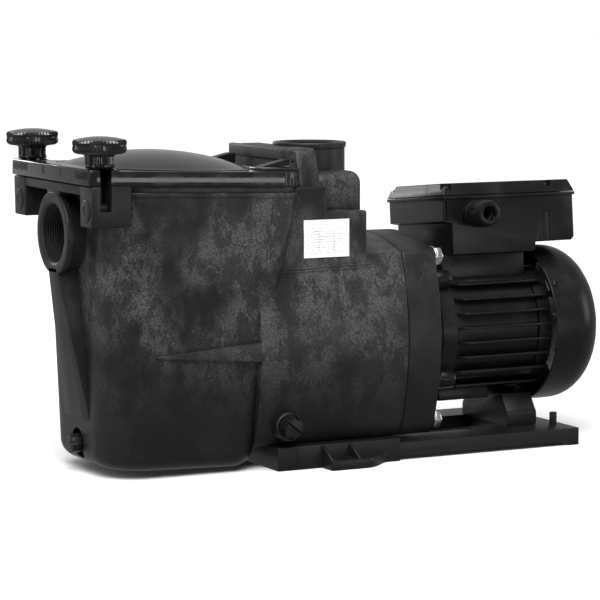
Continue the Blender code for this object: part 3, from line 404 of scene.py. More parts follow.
MOULDED = MouldedPlastic()
MOULDED_PLAIN = MouldedPlastic("moulded_plastic_plain", marks=0.25)
GLOSS = GlossPlastic()
DOME_GLOSS = GlossPlastic("smoked_dome", base=(0.004, 0.0035, 0.0035), roughness=0.09)
COAT = PowderCoat()
STAINLESS = Metal("bright_stainless", Slot.STAINLESS, (0.36, 0.35, 0.33), (0.66, 0.65, 0.62), 0.16)
BLACK_STEEL = Metal("blackened_steel", Slot.STAINLESS, (0.008, 0.008, 0.009),
                    (0.024, 0.024, 0.026), 0.34)
BRASS = Metal("turned_brass", Slot.BRASS, (0.45, 0.3, 0.12), (0.7, 0.52, 0.24))
WINDING = Metal("varnished_winding", Slot.WINDING, (0.3, 0.1, 0.04), (0.55, 0.24, 0.1), 0.34)
RUBBER = Matt("black_rubber", Slot.RUBBER, (0.01, 0.01, 0.01), (0.022, 0.022, 0.022), 0.72)
SKIRT = Matt("seal_skirt", Slot.RUBBER, (0.01, 0.008, 0.007), (0.026, 0.02, 0.017), 0.42)
GREY = Matt("engineering_plastic", Slot.GREY, (0.26, 0.27, 0.28), (0.36, 0.37, 0.38), 0.42)
CERAMIC = Matt("lapped_ceramic", Slot.CERAMIC, (0.78, 0.76, 0.7), (0.88, 0.86, 0.81), 0.2)
LABEL = LabelFilm()


# ---- shaping
class Form:
    """A closed shape being modelled with bmesh operators."""

    def __init__(self) -> None:
        """Start with nothing."""
        self.bm = bmesh.new()

    @classmethod
    def block(cls, x: Point, y: Point | float, z: Point, edge: float = 0.0,
              segments: int = 3) -> "Form":
        """A block with rounded edges.

        Args:
            x: Where it starts and ends along X.
            y: The same along Y, or half its width about the middle.
            z: The same along Z.
            edge: Radius of the edges.
            segments: Facets round an edge.

        Returns:
            The block.
        """
        form = cls()
        bmesh.ops.create_cube(form.bm, size=1)
        low, high = (Vector(c) for c in zip(x, (-y, y) if isinstance(y, float) else y, z))
        bmesh.ops.scale(form.bm, vec=high - low, verts=form.bm.verts)
        return form.shift(*(high + low) / 2).soften(edge, segments)

    @classmethod
    def bar(cls, radius: float, start: float, end: float, steps: int = MEDIUM,
            edge: float = 0.0) -> "Form":
        """A round or many-sided bar along Z."""
        form = cls()
        bmesh.ops.create_cone(form.bm, cap_ends=True, segments=steps, radius1=radius,
                              radius2=radius, depth=end - start)
        return form.shift(z=(start + end) / 2).soften(edge, 2, 50)

    @classmethod
    def lathe(cls, profile: list[Point], steps: int = ROUND, closed: bool = False) -> "Form":
        """Turn a (radius, height) profile about Z.

        Args:
            profile: Points along the outline.
            steps: Facets around.
            closed: Whether the outline joins its own start.

        Returns:
            The turned form.
        """
        form = cls()
        verts = [form.bm.verts.new((r, 0, z)) for r, z in profile]
        edges = [form.bm.edges.new(pair) for pair in zip(verts, verts[1:])]
        if closed:
            edges.append(form.bm.edges.new((verts[-1], verts[0])))
        bmesh.ops.spin(form.bm, geom=verts + edges, cent=(0, 0, 0), axis=(0, 0, 1), angle=2 * pi,
                       steps=steps, use_merge=True)
        bmesh.ops.remove_doubles(form.bm, verts=form.bm.verts, dist=0.000004)
        bmesh.ops.recalc_face_normals(form.bm, faces=form.bm.faces)
        return form

    @classmethod
    def slab(cls, points: list[Point], low: float, high: float, edge: float = 0.0,
             segments: int = 2) -> "Form":
        """A flat outline in XY given thickness along Z, with rounded edges."""
        form = cls()
        face = form.bm.faces.new([form.bm.verts.new((x, y, low)) for x, y in points])
        raised = bmesh.ops.extrude_face_region(form.bm, geom=[face])["geom"]
        tops = [g for g in raised if isinstance(g, bmesh.types.BMVert)]
        bmesh.ops.translate(form.bm, vec=(0, 0, high - low), verts=tops)
        bmesh.ops.recalc_face_normals(form.bm, faces=form.bm.faces)
        return form.soften(edge, segments)

    def soften(self, size: float, segments: int = 2, sharper: float = 30) -> "Form":
        """Round the outward edges that turn by more than an angle in degrees."""
        if size:
            limit = radians(sharper)
            edges = [e for e in self.bm.edges if len(e.link_faces) == 2
                     and e.calc_face_angle_signed(0) > limit]
            self.bevel(edges, size, segments, True)
        return self

    def bevel(self, edges: list[bmesh.types.BMEdge], size: float, segments: int,
              clamp: bool = False) -> None:
        """Round some edges, kept clear of each other on request."""
        bmesh.ops.bevel(self.bm, geom=edges, offset=size, segments=segments, profile=0.5,
                        affect="EDGES", material=-1, clamp_overlap=clamp)

    def at(self, matrix: Matrix) -> "Form":
        """Move the whole form."""
        bmesh.ops.transform(self.bm, matrix=matrix, verts=self.bm.verts)
        return self

    def shift(self, x: float = 0, y: float = 0, z: float = 0) -> "Form":
        """Slide the whole form."""
        return self.at(Matrix.Translation((x, y, z)))

    def level(self, z: float, y: float = 0) -> "Form":
        """Lay a form made about Z along X, at a height."""
        return self.at(TURN_TO_X).shift(0, y, z)

    def turn(self, degrees: float, axis: str = "Z") -> "Form":
        """Turn the whole form about an axis through the origin."""
        return self.at(Matrix.Rotation(radians(degrees), 4, axis))

    def add(self, *others: "Form") -> "Form":
        """Take in other forms as they stand."""
        for other in others:
            mesh = bpy.data.meshes.new("part")
            other.bm.to_mesh(mesh)
            other.bm.free()
            self.bm.from_mesh(mesh)
            bpy.data.meshes.remove(mesh)
        return self

    def cut(self, *others: "Form", keep: bool = False) -> "Form":
        """Cut other forms away, or keep only what they share.

        Args:
            others: The cutting forms.
            keep: Keep the shared space instead of removing it.

        Returns:
            This form.
        """
        body = self._temporary()
        cutters = [other._temporary() for other in others]
        for cutter in cutters:
            tool = body.modifiers.new("cut", "BOOLEAN")
            tool.operation = "INTERSECT" if keep else "DIFFERENCE"
            tool.object = cutter
        bpy.context.view_layer.update()
        shaped = body.evaluated_get(bpy.context.evaluated_depsgraph_get())
        mesh = bpy.data.meshes.new_from_object(shaped)
        self.bm = bmesh.new()
        self.bm.from_mesh(mesh)
        bpy.data.meshes.remove(mesh)
        for obj in [body, *cutters]:
            data = obj.data
            bpy.data.objects.remove(obj)
            bpy.data.meshes.remove(data)
        return self

    def _temporary(self) -> bpy.types.Object:
        """Hand this form over to a scratch object."""
        mesh = bpy.data.meshes.new("scratch")
        self.bm.to_mesh(mesh)
        self.bm.free()
        return placed("scratch", mesh)

    def piece(self, name: str, look: Finish, *replaces: str, body: str = BODY,
              sharp: float = 32) -> bpy.types.Object:
        """Finish the form as a piece of the pump.

        Args:
            name: The piece's name.
            look: Its finish.
            replaces: The frame nodes it stands for.
            body: The moving body it rides on.
            sharp: Edges turning more than this many degrees stay crisp.

        Returns:
            The finished object.
        """
        mesh = bpy.data.meshes.new(name)
        self.bm.to_mesh(mesh)
        self.bm.free()
        mesh.shade_smooth()
        mesh.set_sharp_from_angle(angle=radians(sharp))
        mesh.materials.append(look.material())
        obj = placed(name, mesh)
        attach(obj, body)
        if replaces:
            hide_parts(*replaces)
        logging.info("%s: %d faces on %s", name, len(mesh.polygons), body)
        return obj


def placed(name: str, data: bpy.types.ID) -> bpy.types.Object:
    """A new object in the scene."""
    obj = bpy.data.objects.new(name, data)
    bpy.context.scene.collection.objects.link(obj)
    return obj


def mm(*values: float) -> list[Point]:
    """Points from pairs of coordinates in millimetres."""
    return [(a / 1000, b / 1000) for a, b in zip(values[::2], values[1::2])]


def arc(x: float, y: float, radius: float, start: float, end: float, count: int) -> list[Point]:
    """Points along an arc, with angles in degrees."""
    angles = [radians(start + (end - start) * i / count) for i in range(count + 1)]
    return [(x + radius * cos(a), y + radius * sin(a)) for a in angles]


def plan(front: float, rear: float, half: float, front_corner: float, rear_corner: float,
         front_count: int, rear_count: int) -> list[Point]:
    """A square plan with its own rounding at the front and rear corners."""
    front_x, front_y = front + front_corner, half - front_corner
    rear_x, rear_y = rear - rear_corner, half - rear_corner
    return (arc(rear_x, -rear_y, rear_corner, -90, 0, rear_count)
            + arc(rear_x, rear_y, rear_corner, 0, 90, rear_count)
            + arc(front_x, front_y, front_corner, 90, 180, front_count)
            + arc(front_x, -front_y, front_corner, 180, 270, front_count))


def threads(bore: float, start: float, end: float) -> list[Point]:
    """The crests and roots of a thread along a bore, from start to end."""
    count = int(abs(end - start) / THREAD_PITCH)
    step = (end - start) / count
    shape = ((0, 0), (0, 0.2), (THREAD_DEPTH, 0.5), (THREAD_DEPTH, 0.7))
    points = [(bore + depth, start + step * (i + part))
              for i in range(count) for depth, part in shape]
    return points + [(bore, end)]


def mirrored(points: list[Point], side: Side) -> list[Point]:
    """Points given for the left side, flipped for the right one and kept in turning order."""
    flipped = [(side.value * x, y) for x, y in points]
    return flipped if side is Side.LEFT else flipped[::-1]


# ---- housing
@dataclass
class Housing:
    """The one-piece moulding: tank, ports, clamp lugs, volute and discharge tower."""

    front: float = 0.0205
    rear_low: float = 0.18
    rear_high: float = 0.222
    half_low: float = 0.078
    half_high: float = 0.098
    floor: float = 0.009
    wall: float = 0.006
    bore: float = 0.02836
    suction_z: float = 0.232
    discharge_x: float = 0.275
    discharge_top: float = 0.3126
    rim_drop: float = 0.0058
    front_corner: float = 0.044
    rear_corner: float = 0.026
    drain_pocket: Corner = (0.015, 0.0, 0.033)
    drain_bore: Corner = (0.0066, 0.02, 0.065)

    def build(self) -> None:
        """Make every piece of the housing."""
        self.tank()
        self.suction_port()
        for side in Side:
            self.lug(side)
            self.rib(side)
        self.front_bar()
        self.front_web()
        self.volute()
        self.tower()
        self.discharge()
        self.drain_bosses()

    def tub(self, inset: float, floor: float, raised: float) -> Form:
        """The tapered tank with every wall moved in.

        Args:
            inset: How far the walls move in.
            floor: Height of the floor at the front.
            raised: Height added above the rim.

        Returns:
            The closed tub.
        """
        form = Form()
        bmesh.ops.create_cube(form.bm, size=2)
        for vert in form.bm.verts:
            high = vert.co.z > 0
            back = self.rear_high if high else self.rear_low
            front = self.front + inset + (0 if high else 0.004)
            x = back - inset if vert.co.x > 0 else front
            half = (self.half_high if high else self.half_low) - inset
            y = half if vert.co.y > 0 else -half
            z = RIM_Z - RIM_SLOPE * x + raised if high else floor - RIM_SLOPE * (x - self.front)
            vert.co = (x, y, z)
        upright = [e for e in form.bm.edges if abs(e.verts[0].co.z - e.verts[1].co.z) > 0.1]
        front_edges = [e for e in upright if e.verts[0].co.x < 0.1]
        rear_edges = [e for e in upright if e.verts[0].co.x > 0.1]
        for edges, size, segments in ((front_edges, self.front_corner, 16),
                                      (rear_edges, self.rear_corner, 10)):
            form.bevel(edges, size - inset, segments)
        base = [e for e in form.bm.edges if max(v.co.z for v in e.verts) < floor + 0.001]
        form.bevel(base, 0.016 - inset / 2, 7)
        return form

    def inside(self) -> Form:
        """The space inside the tank."""
        return self.tub(self.wall, self.floor + self.wall, 0.02)

    def tank(self) -> None:
        """The tank wall, its rim lip and the dark seal skirt above it."""
        shell = self.tub(0.0, self.floor, -self.rim_drop)
        hollow = self.inside()
        ledge = Form.block((0.0, 0.25), 0.12, (0.26, 0.265))
        ledge.cut(Form.bar(0.0665, 0.2, 0.3).shift(0.118))
        hollow.cut(ledge)
        port = Form.bar(self.bore + 0.001, -0.01, 0.035).level(self.suction_z)
        eye = Form.bar(0.031, 0.165, 0.25).level(SHAFT_Z)
        pocket = Form.bar(*self.drain_pocket).level(DRAIN_Z)
        drain = Form.bar(*self.drain_bore).level(DRAIN_Z)
        shell.cut(hollow, port, eye, pocket, drain).at(ASSEMBLY)
        shell.piece("tank_shell", MOULDED, "pump_housing")
        for name, low, high, inset, width, look in (
                ("tank_rim_lip", -0.0105, -0.006, -0.0006, 0.005, MOULDED),
                ("tank_seal_skirt", -0.006, -0.0003, 0.0028, 0.003, SKIRT)):
            ring = Form.slab(self.rim(inset), low, high, 0.0006)
            ring.cut(Form.slab(self.rim(inset + width), low - 0.01, high + 0.01))
            ring.at(LID_FRAME).piece(name, look)

    def rim(self, inset: float) -> list[Point]:
        """The outline of the tank rim moved in by inset."""
        return plan(self.front + inset, self.rear_high - inset, self.half_high - inset,
                    self.front_corner - inset, self.rear_corner - inset, 16, 10)

    def suction_port(self) -> None:
        """The threaded suction port with its rolled front ring and neck."""
        profile = arc(0.038, 0.0018, 0.0018, -90, 0, 5) + arc(0.0388, 0.006, 0.001, 0, 90, 3)
        profile += mm(36.2, 7.2, 35.2, 40) + [(self.bore + 0.0012, 0.04)]
        profile += threads(self.bore, 0.034, 0.0022) + [(self.bore + 0.0016, 0.0004)]
        profile += [(self.bore + 0.0024, 0.0)]
        axis = ASSEMBLY @ Matrix.Translation((0, 0, self.suction_z)) @ TURN_TO_X
        Form.lathe(profile, ROUND, True).at(axis).piece("suction_port", MOULDED_PLAIN)
        neck = Form.block((0.0008, 0.03), 0.0155, (0.269, 0.276), 0.002)
        neck.at(ASSEMBLY).piece("suction_neck", MOULDED_PLAIN)

    def front_bar(self) -> None:
        """The straight bar that joins the two clamp lugs."""
        bar = Form.block((0.0007, 0.04), 0.0725, (0.2725, 0.2815), 0.0014)
        pocket = Form.block((0.006, 0.02), 0.066, (0.27, 0.276), 0.001)
        bar.cut(pocket).at(ASSEMBLY).piece("lug_bar", MOULDED_PLAIN)

    def lug(self, side: Side) -> None:
        """One clamp lug with its bolt slot and pin seat."""
        points = mirrored(mm(70, 243.5, 98, 243.5, 99.8, 281.8, 70, 281.8), side)
        lug = Form.slab(points, 0.0, 0.04, 0.0016, 3).at(FRONT_VIEW)
        y, z = side.value * HINGE[1], HINGE[2]
        lug.cut(Form.block(BOLT_SLOT_X, side.span(BOLT_SLOT_Y[0], 0.095), (0.2495, 0.3)),
                Form.block(BOLT_SLOT_X, side.span(0.09, BOLT_SLOT_Y[1]), (0.2586, 0.3)),
                Form.bar(0.0043, -0.01, 0.033, SMALL).level(z, y),
                Form.bar(0.0108, -0.01, 0.003).level(z, y))
        lug.at(ASSEMBLY).piece("clamp_lug_" + side.label, MOULDED_PLAIN)

    def rib(self, side: Side) -> None:
        """One pointed stiffening rib that grows towards the volute."""
        form = Form()
        bmesh.ops.create_cube(form.bm, size=2)
        for vert in form.bm.verts:
            rear = vert.co.x > 0
            outer = vert.co.y * side.value > 0
            height = 0.0098 if rear else 0.001
            y = (0.0945 if rear else 0.0876) if outer else 0.08
            z = height if vert.co.z > 0 else -height
            vert.co = (0.186 if rear else 0.069, side.value * y, SHAFT_Z + z)
        form.soften(0.0005, 2)
        form.at(ASSEMBLY).piece("stiffening_rib_" + side.label, MOULDED)

    def front_web(self) -> None:
        """The tapered web that carries the suction port down to the front drain."""
        points = mm(-10.7, 200, -34.5, 42, -15, 29, 15, 29, 34.5, 42, 10.7, 200)
        web = Form.slab(points, 0.0, 0.045).at(FRONT_VIEW)
        slope = atan(0.026 / 0.155)
        everything = web.bm.verts[:] + web.bm.edges[:] + web.bm.faces[:]
        cut = bmesh.ops.bisect_plane(web.bm, geom=everything, plane_co=(0.0005, 0, 0.192),
                                     plane_no=(-cos(slope), 0, -sin(slope)), clear_outer=True)
        rim = [g for g in cut["geom_cut"] if isinstance(g, bmesh.types.BMEdge)]
        bmesh.ops.contextual_create(web.bm, geom=rim)
        bmesh.ops.recalc_face_normals(web.bm, faces=web.bm.faces)
        web.soften(0.0018, 3, 20)
        web.cut(Form.bar(*self.drain_pocket).level(DRAIN_Z))
        web.at(ASSEMBLY).piece("front_web", MOULDED_PLAIN)

    def bored(self, form: Form) -> Form:
        """Open the shaft chamber and the discharge bore through a form."""
        chamber = Form.bar(0.0762, 0.236, 0.4, ROUND).level(SHAFT_Z)
        eye = Form.bar(0.031, 0.16, 0.25).level(SHAFT_Z)
        groove = Form.bar(0.0802, 0.3335, 0.4, ROUND).level(SHAFT_Z)
        riser = Form.bar(self.bore + 0.0012, 0.18, 0.33, ROUND).shift(self.discharge_x)
        return form.cut(chamber, eye, groove, riser)

    def volute(self) -> None:
        """The bulged volute casing."""
        casing = Form.slab(section_points(), 0.176, 0.337, 0.0016, 3).at(FRONT_VIEW)
        casing.cut(self.inside())
        self.bored(casing).at(ASSEMBLY).piece("volute_casing", MOULDED)

    def tower(self) -> None:
        """The flat-sided discharge tower, its raised ledge lines and the lid arch."""
        points = mm(188, 150, 295.8, 150, 295.8, 249, 252, 249, 252, 273.5, 215, 273.5, 212, 262,
                    196, 190)
        block = Form.slab(points, -0.0832, 0.0832, 0.0022, 3).at(SIDE_VIEW)
        tongue = Form.block((0.2235, 0.2375), 0.056, (0.2745, 0.2868))
        self.bored(block.cut(self.inside())).at(ASSEMBLY).piece("discharge_tower", MOULDED)
        lines = Form()
        for side in Side:
            y = side.span(0.082, 0.084)
            for lift in (0.1875, 0.1906):
                strip = Form.block((0.1935, 0.299), y, (-0.0007, 0.0007), 0.0004, 1)
                strip.turn(-1.2, "Y").shift(z=lift)
                lines.add(strip)
        lines.at(ASSEMBLY).piece("tower_ledges", MOULDED)
        outline = mm(-81, 240, 89, 240, 89, 299, 87, 303.5, 83, 306.2, 60, 309.2, -58, 309.2,
                     -61.2, 308, -63, 304)
        arch = Form.slab(outline, 0.228, 0.2505, 0.0022, 3).at(FRONT_VIEW)
        hollow = Form.bar(0.041, 0.24, 0.296).shift(0.278, 0, 0)
        arch.cut(tongue, hollow)
        arch.at(ASSEMBLY).piece("lid_arch", MOULDED)
        lip = Form.block((0.2262, 0.233), (-0.06, 0.085), (0.2965, 0.3085), 0.0018)
        lip.at(ASSEMBLY).piece("lid_arch_lip", MOULDED)

    def discharge(self) -> None:
        """The hump and the threaded upright collar."""
        hump = Form.block((0.249, 0.304), (-0.062, 0.078), (0.235, 0.286), 0.012, 6)
        self.bored(hump).at(ASSEMBLY).piece("discharge_hump", MOULDED)
        top = self.discharge_top
        profile = [(0.0352, 0.225), (0.0352, top - 0.0062), (0.036, top - 0.0055)]
        profile += arc(0.0352, top - 0.0015, 0.0015, 0, 90, 5) + [(self.bore + 0.0022, top)]
        profile += threads(self.bore, top - 0.0016, 0.236) + [(self.bore + 0.001, 0.225)]
        collar = Form.lathe(profile, ROUND, True).shift(self.discharge_x)
        collar.at(ASSEMBLY).piece("discharge_collar", MOULDED_PLAIN)

    def drain_bosses(self) -> None:
        """The round bosses that the drain plugs screw into."""
        front = mm(6.5, 31, 12, 31, 12.8, 31.8, 13.8, 31.8, 14.5, 32.6, 14.5, 60, 6.5, 60)
        boss = Form.lathe(front, MEDIUM, True).level(DRAIN_Z)
        foot = Form.block((0.034, 0.06), 0.013, (0.0135, 0.028), 0.0015)
        foot.cut(Form.bar(*self.drain_bore).level(DRAIN_Z))
        side = mm(6.5, 70, 14, 70, 14, 95, 13.2, 96, 12.4, 96, 12, 93, 6.5, 93)
        outlet = Form.lathe(side, MEDIUM, True).at(Matrix.Rotation(pi / 2, 4, "X"))
        boss.add(outlet.shift(SIDE_DRAIN[0], 0, SIDE_DRAIN[1]), foot)
        boss.at(ASSEMBLY).piece("drain_bosses", MOULDED_PLAIN)


def section_points() -> list[Point]:
    """The bulged outline shared by the volute and the seal plate."""
    corner, rise, bulge, top_z, bottom_z = 0.0785, 0.0875, 0.016, 0.221, 0.0232
    steps = [-1 + i / 12 for i in range(25)]
    side = [(corner + bulge * (1 - t * t), SHAFT_Z + t * rise) for t in steps]
    crown = top_z - SHAFT_Z - rise
    spread = [1 - i / 6 for i in range(1, 12)]
    top = [(corner * t, SHAFT_Z + rise + crown * (1 - t * t)) for t in spread]
    far = [(-y, z) for y, z in reversed(side)]
    return side + top + far + [(-corner + 0.006, bottom_z), (corner - 0.006, bottom_z)]


# ---- lid
@dataclass
class Lid:
    """The square lid with its smoked dome, front bar, corner pads and hooks."""

    front: float = -0.0028
    band: float = 0.014
    bar: float = 0.0153
    dome_x: float = 0.106
    dome_radius: float = 0.094
    dome_height: float = 0.017

    def build(self) -> None:
        """Make the lid's pieces."""
        self.frame_band()
        self.dome()
        self.front_bar()
        self.hooks()
        for side in Side:
            self.crown(side)

    def slots(self) -> list[Form]:
        """The two open slots for the swing bolts, in the lid's own frame."""
        return [self.slot(side).at(LID_FRAME.inverted()) for side in Side]

    @staticmethod
    def slot(side: Side) -> Form:
        """One open slot for a swing bolt."""
        return Form.block(BOLT_SLOT_X, side.span(*BOLT_SLOT_Y), (0.27, 0.32)).at(ASSEMBLY)

    def frame_band(self) -> None:
        """The square band, recessed round the dome, with its tongue and pads."""
        outline = plan(self.front, 0.222, 0.099, 0.003, 0.025, 3, 10)
        band = Form.slab(outline, 0.0, self.band, 0.0013, 4)
        recess = Form.bar(DOME_SEAT, 0.0105, 0.03, ROUND).shift(self.dome_x)
        band.cut(recess, Form.bar(0.086, -0.01, 0.03, ROUND).shift(self.dome_x), *self.slots())
        band.add(Form.block((0.21, 0.2338), 0.052, (0.0025, 0.0098), 0.0012))
        for side in Side:
            y = side.span(0.06, 0.0925)
            band.add(Form.block((0.1785, 0.2175), y, (0.004, 0.0172), 0.0012))
            y = side.value
            for point in arc(0.197, y * 0.074, 0.0232, y * 10, y * 84, 6):
                band.add(Form.bar(0.0022, 0.001, 0.013, 14).shift(*point))
        band.at(LID_FRAME).piece("lid_band", GLOSS, "strainer_lid")

    def dome(self) -> None:
        """The smoked dome with a stepped edge and a raised ring."""
        sphere = (self.dome_radius ** 2 + self.dome_height ** 2) / (2 * self.dome_height)
        base = self.band - 0.001
        profile = [(0, 0.006), (0.085, 0.006), (0.0945, 0.01), (0.0945, self.band + 0.0003)]
        profile += [(0.0928, self.band + 0.001), (0.0915, self.band + 0.0002)]
        for i in range(15, -1, -1):
            radius = 0.0905 * i / 15
            rise = sqrt(sphere ** 2 - radius ** 2) - sphere
            profile.append((radius, base + self.dome_height + rise))
        dome = Form.lathe(profile).shift(self.dome_x).at(LID_FRAME)
        dome.piece("lid_dome", DOME_GLOSS)

    def front_bar(self) -> None:
        """The raised bar across the front with its three finger pockets."""
        outline = plan(self.front, 0.029, 0.0988, 0.003, 0.002, 3, 2)
        bar = Form.slab(outline, 0.004, self.bar, 0.002, 3)
        pockets = [Form.block((-0.01, 0.007), (low, low + width), (0.0052, 0.0125), 0.001)
                   for low, width in ((-0.027, 0.039), (-0.064, 0.034), (0.018, 0.038))]
        clear = Form.bar(DOME_SEAT, 0.0, 0.03, ROUND).shift(self.dome_x)
        bar.cut(clear, *pockets, *self.slots())
        bar.at(LID_FRAME).piece("lid_front_bar", GLOSS)

    def hooks(self) -> None:
        """The two sloping hooks that catch under the arch."""
        hooks = Form()
        points = mm(181, 10, 221.5, 10, 221.5, 24.5, 213, 24.5, 181, 16)
        for side in Side:
            ramp = Form.slab(points, -0.004, 0.004, 0.0018, 4).at(SIDE_VIEW)
            hooks.add(ramp.shift(y=side.value * 0.062))
        hooks.at(LID_FRAME).piece("lid_hooks", GLOSS)

    def crown(self, side: Side) -> None:
        """A pad rounded about the hinge pin, so the clamp swings clear."""
        x, y, z = HINGE
        low, high = 0.0685 - y, 0.0985 - y
        rim = [(low + (high - low) * i / 12) for i in range(13)]
        top = [(side.value * (y + t), z + sqrt(0.0393 ** 2 - t * t)) for t in rim]
        points = top + [(side.value * (y + high), 0.2885), (side.value * (y + low), 0.2885)]
        pad = Form.slab(points, x - 0.013, x + 0.013, 0.0006).at(FRONT_VIEW).at(ASSEMBLY)
        pad.cut(self.slot(side)).piece("lid_pad_" + side.label, GLOSS)


# ---- clamps
@dataclass
class Clamp:
    """A swing bolt with its pin, washer and knurled knob."""

    side: Side
    knob: float = 0.0255
    knurls: int = 48
    flutes: int = 9
    knurl_depth: float = 0.955

    def build(self) -> None:
        """Make the clamp's four pieces."""
        label = self.side.label
        x, y, z = HINGE
        here = ASSEMBLY @ Matrix.Translation((x, self.side.value * y, z))
        knob = self.knob_form().at(here)
        knob.piece("knob_" + label, GLOSS, "lid_knob_" + label, body="knob_" + label, sharp=24)
        ring = mm(4.6, 41, 13.6, 41, 14, 40.7, 14, 40, 13.6, 39.7, 4.6, 39.7)
        washer = Form.lathe(ring, MEDIUM, True).at(here)
        washer.piece("washer_" + label, BLACK_STEEL, "knob_washer_" + label,
                     body="washer_" + label)
        eye = mm(4.3, -5, 7.4, -5, 8, -4.4, 8, 4.4, 7.4, 5, 4.3, 5)
        bolt = Form.lathe(eye, MEDIUM, True).at(TURN_TO_X)
        rod = mm(0, 60, 3.2, 60) + [
            (0.004 - (0.0004 if i % 2 else 0.0), 0.0592 - 0.00062 * i) for i in range(60)]
        bolt.add(Form.lathe(rod + mm(4, 21, 4, 6, 0, 6), SMALL))
        bolt.at(here).piece("eye_bolt_" + label, BLACK_STEEL, "swing_bolt_" + label,
                            body="bolt_" + label)
        pin = mm(0, 32, 3.6, 32, 4, 31.5, 4, 2.7, 10.3, 2.7, 10.5, 2, 10.5, -0.4, 9.4, -1.1,
                 5, -1.2, 4.4, -0.6, 0, -0.6)
        seat = ASSEMBLY @ Matrix.Translation((0, self.side.value * y, z)) @ TURN_TO_X
        Form.lathe(pin, MEDIUM).at(seat).piece("hinge_pin_" + label, MOULDED_PLAIN,
                                               "swing_bolt_pin_" + label)

    def knob_form(self) -> Form:
        """The knob with its two rows of knurls, domed top and fluted hollow neck."""
        r = self.knob
        crown = [(r * 0.93 * i / 9, 0.0688 - 0.003 * (i / 9) ** 2) for i in range(10)]
        rim = [(r * 0.965, 0.0651), (r, 0.0632), (r - 0.0007, 0.06), (r, 0.057),
               (r * 0.965, 0.0545)]
        under = mm(22.5, 53, 18, 52.2, 15, 51.7)
        neck = mm(13.7, 50, 13.7, 43.2, 13.8, 42.4, 13.8, 41.3)
        hollow = mm(4.4, 41.3, 4.4, 64, 0, 64)
        form = Form.lathe(crown + rim + under + neck + hollow, 2 * self.knurls)
        for vert in form.bm.verts:
            flat = vert.co.xy
            if flat.length < 0.001:
                continue
            angle = flat.angle_signed(Vector((1, 0)))
            scale = 1.0
            if flat.length > r * 0.95:
                step = round(angle / (2 * pi) * 2 * self.knurls)
                scale = 1.0 if step % 2 else self.knurl_depth
            elif abs(flat.length - neck[0][0]) < 0.00005:
                scale = 0.92 + 0.08 * cos(self.flutes * angle)
            vert.co.xy = flat * scale
        return form


# ---- plugs
@dataclass
class DrainPlug:
    """A slotted drain plug."""

    label: str
    matrix: Matrix
    slot_turn: float

    def build(self) -> None:
        """Make the plug with its eight-sided slotted head."""
        head = Form.bar(0.0095, -0.015, -0.003, 8, 0.0008)
        slot = Form.block((-0.012, 0.012), 0.0011, (-0.02, -0.0115)).turn(self.slot_turn)
        head.cut(slot)
        shank = mm(0, 17, 5.2, 17, 6, 16.2, 6, -1.8, 9.5, -1.8, 9.5, -3.6, 0, -3.6)
        head.add(Form.lathe(shank, MEDIUM))
        head.at(self.matrix).piece(self.label + "_plug_body", MOULDED_PLAIN,
                                   self.label + "_drain_plug", body=self.label + "_plug")


# ---- seal plate and bolts
@dataclass
class SealPlate:
    """The plate that closes the volute and carries the motor, with its bolts."""

    start: float = 0.3373
    end: float = 0.374
    bolt_y: float = 0.07
    bolt_rise: float = 0.0815
    names: tuple[str, ...] = ("top_right", "top_left", "bottom_right", "bottom_left")

    def build(self) -> None:
        """Make the plate and its four bolts."""
        plate = Form.slab(section_points(), self.start, self.end, 0.0016, 3).at(FRONT_VIEW)
        recess = Form.bar(0.056, 0.356, 0.38, ROUND).level(SHAFT_Z)
        bore = Form.bar(0.02, 0.32, 0.39).level(SHAFT_Z)
        spigot = mm(20.3, 330, 75, 330, 75.4, 330.4, 75.4, 345, 20.3, 345)
        plate.cut(recess, bore).add(Form.lathe(spigot, ROUND, True).level(SHAFT_Z))
        plate.at(ASSEMBLY).piece("seal_plate_body", MOULDED_PLAIN, "seal_plate")
        places = [(side.value * self.bolt_y, SHAFT_Z + rise * self.bolt_rise)
                  for rise in (1, -1) for side in Side]
        for label, (y, z) in zip(self.names, places):
            here = ASSEMBLY @ Matrix.Translation((0, y, z)) @ TURN_TO_X
            bolt = Form.bar(0.0098, self.end + 0.002, 0.3835, 6, 0.0004)
            bolt.cut(Form.bar(0.0098, 0.37, 0.3837, MEDIUM, 0.0012), keep=True)
            bolt.add(Form.bar(0.0105, self.end + GAP, self.end + 0.0022, MEDIUM, 0.0004))
            bolt.add(Form.bar(0.0049, 0.308, 0.3755, SMALL, 0.0006))
            bolt.at(here).piece("casing_bolt_" + label, STAINLESS, "housing_bolt_" + label)


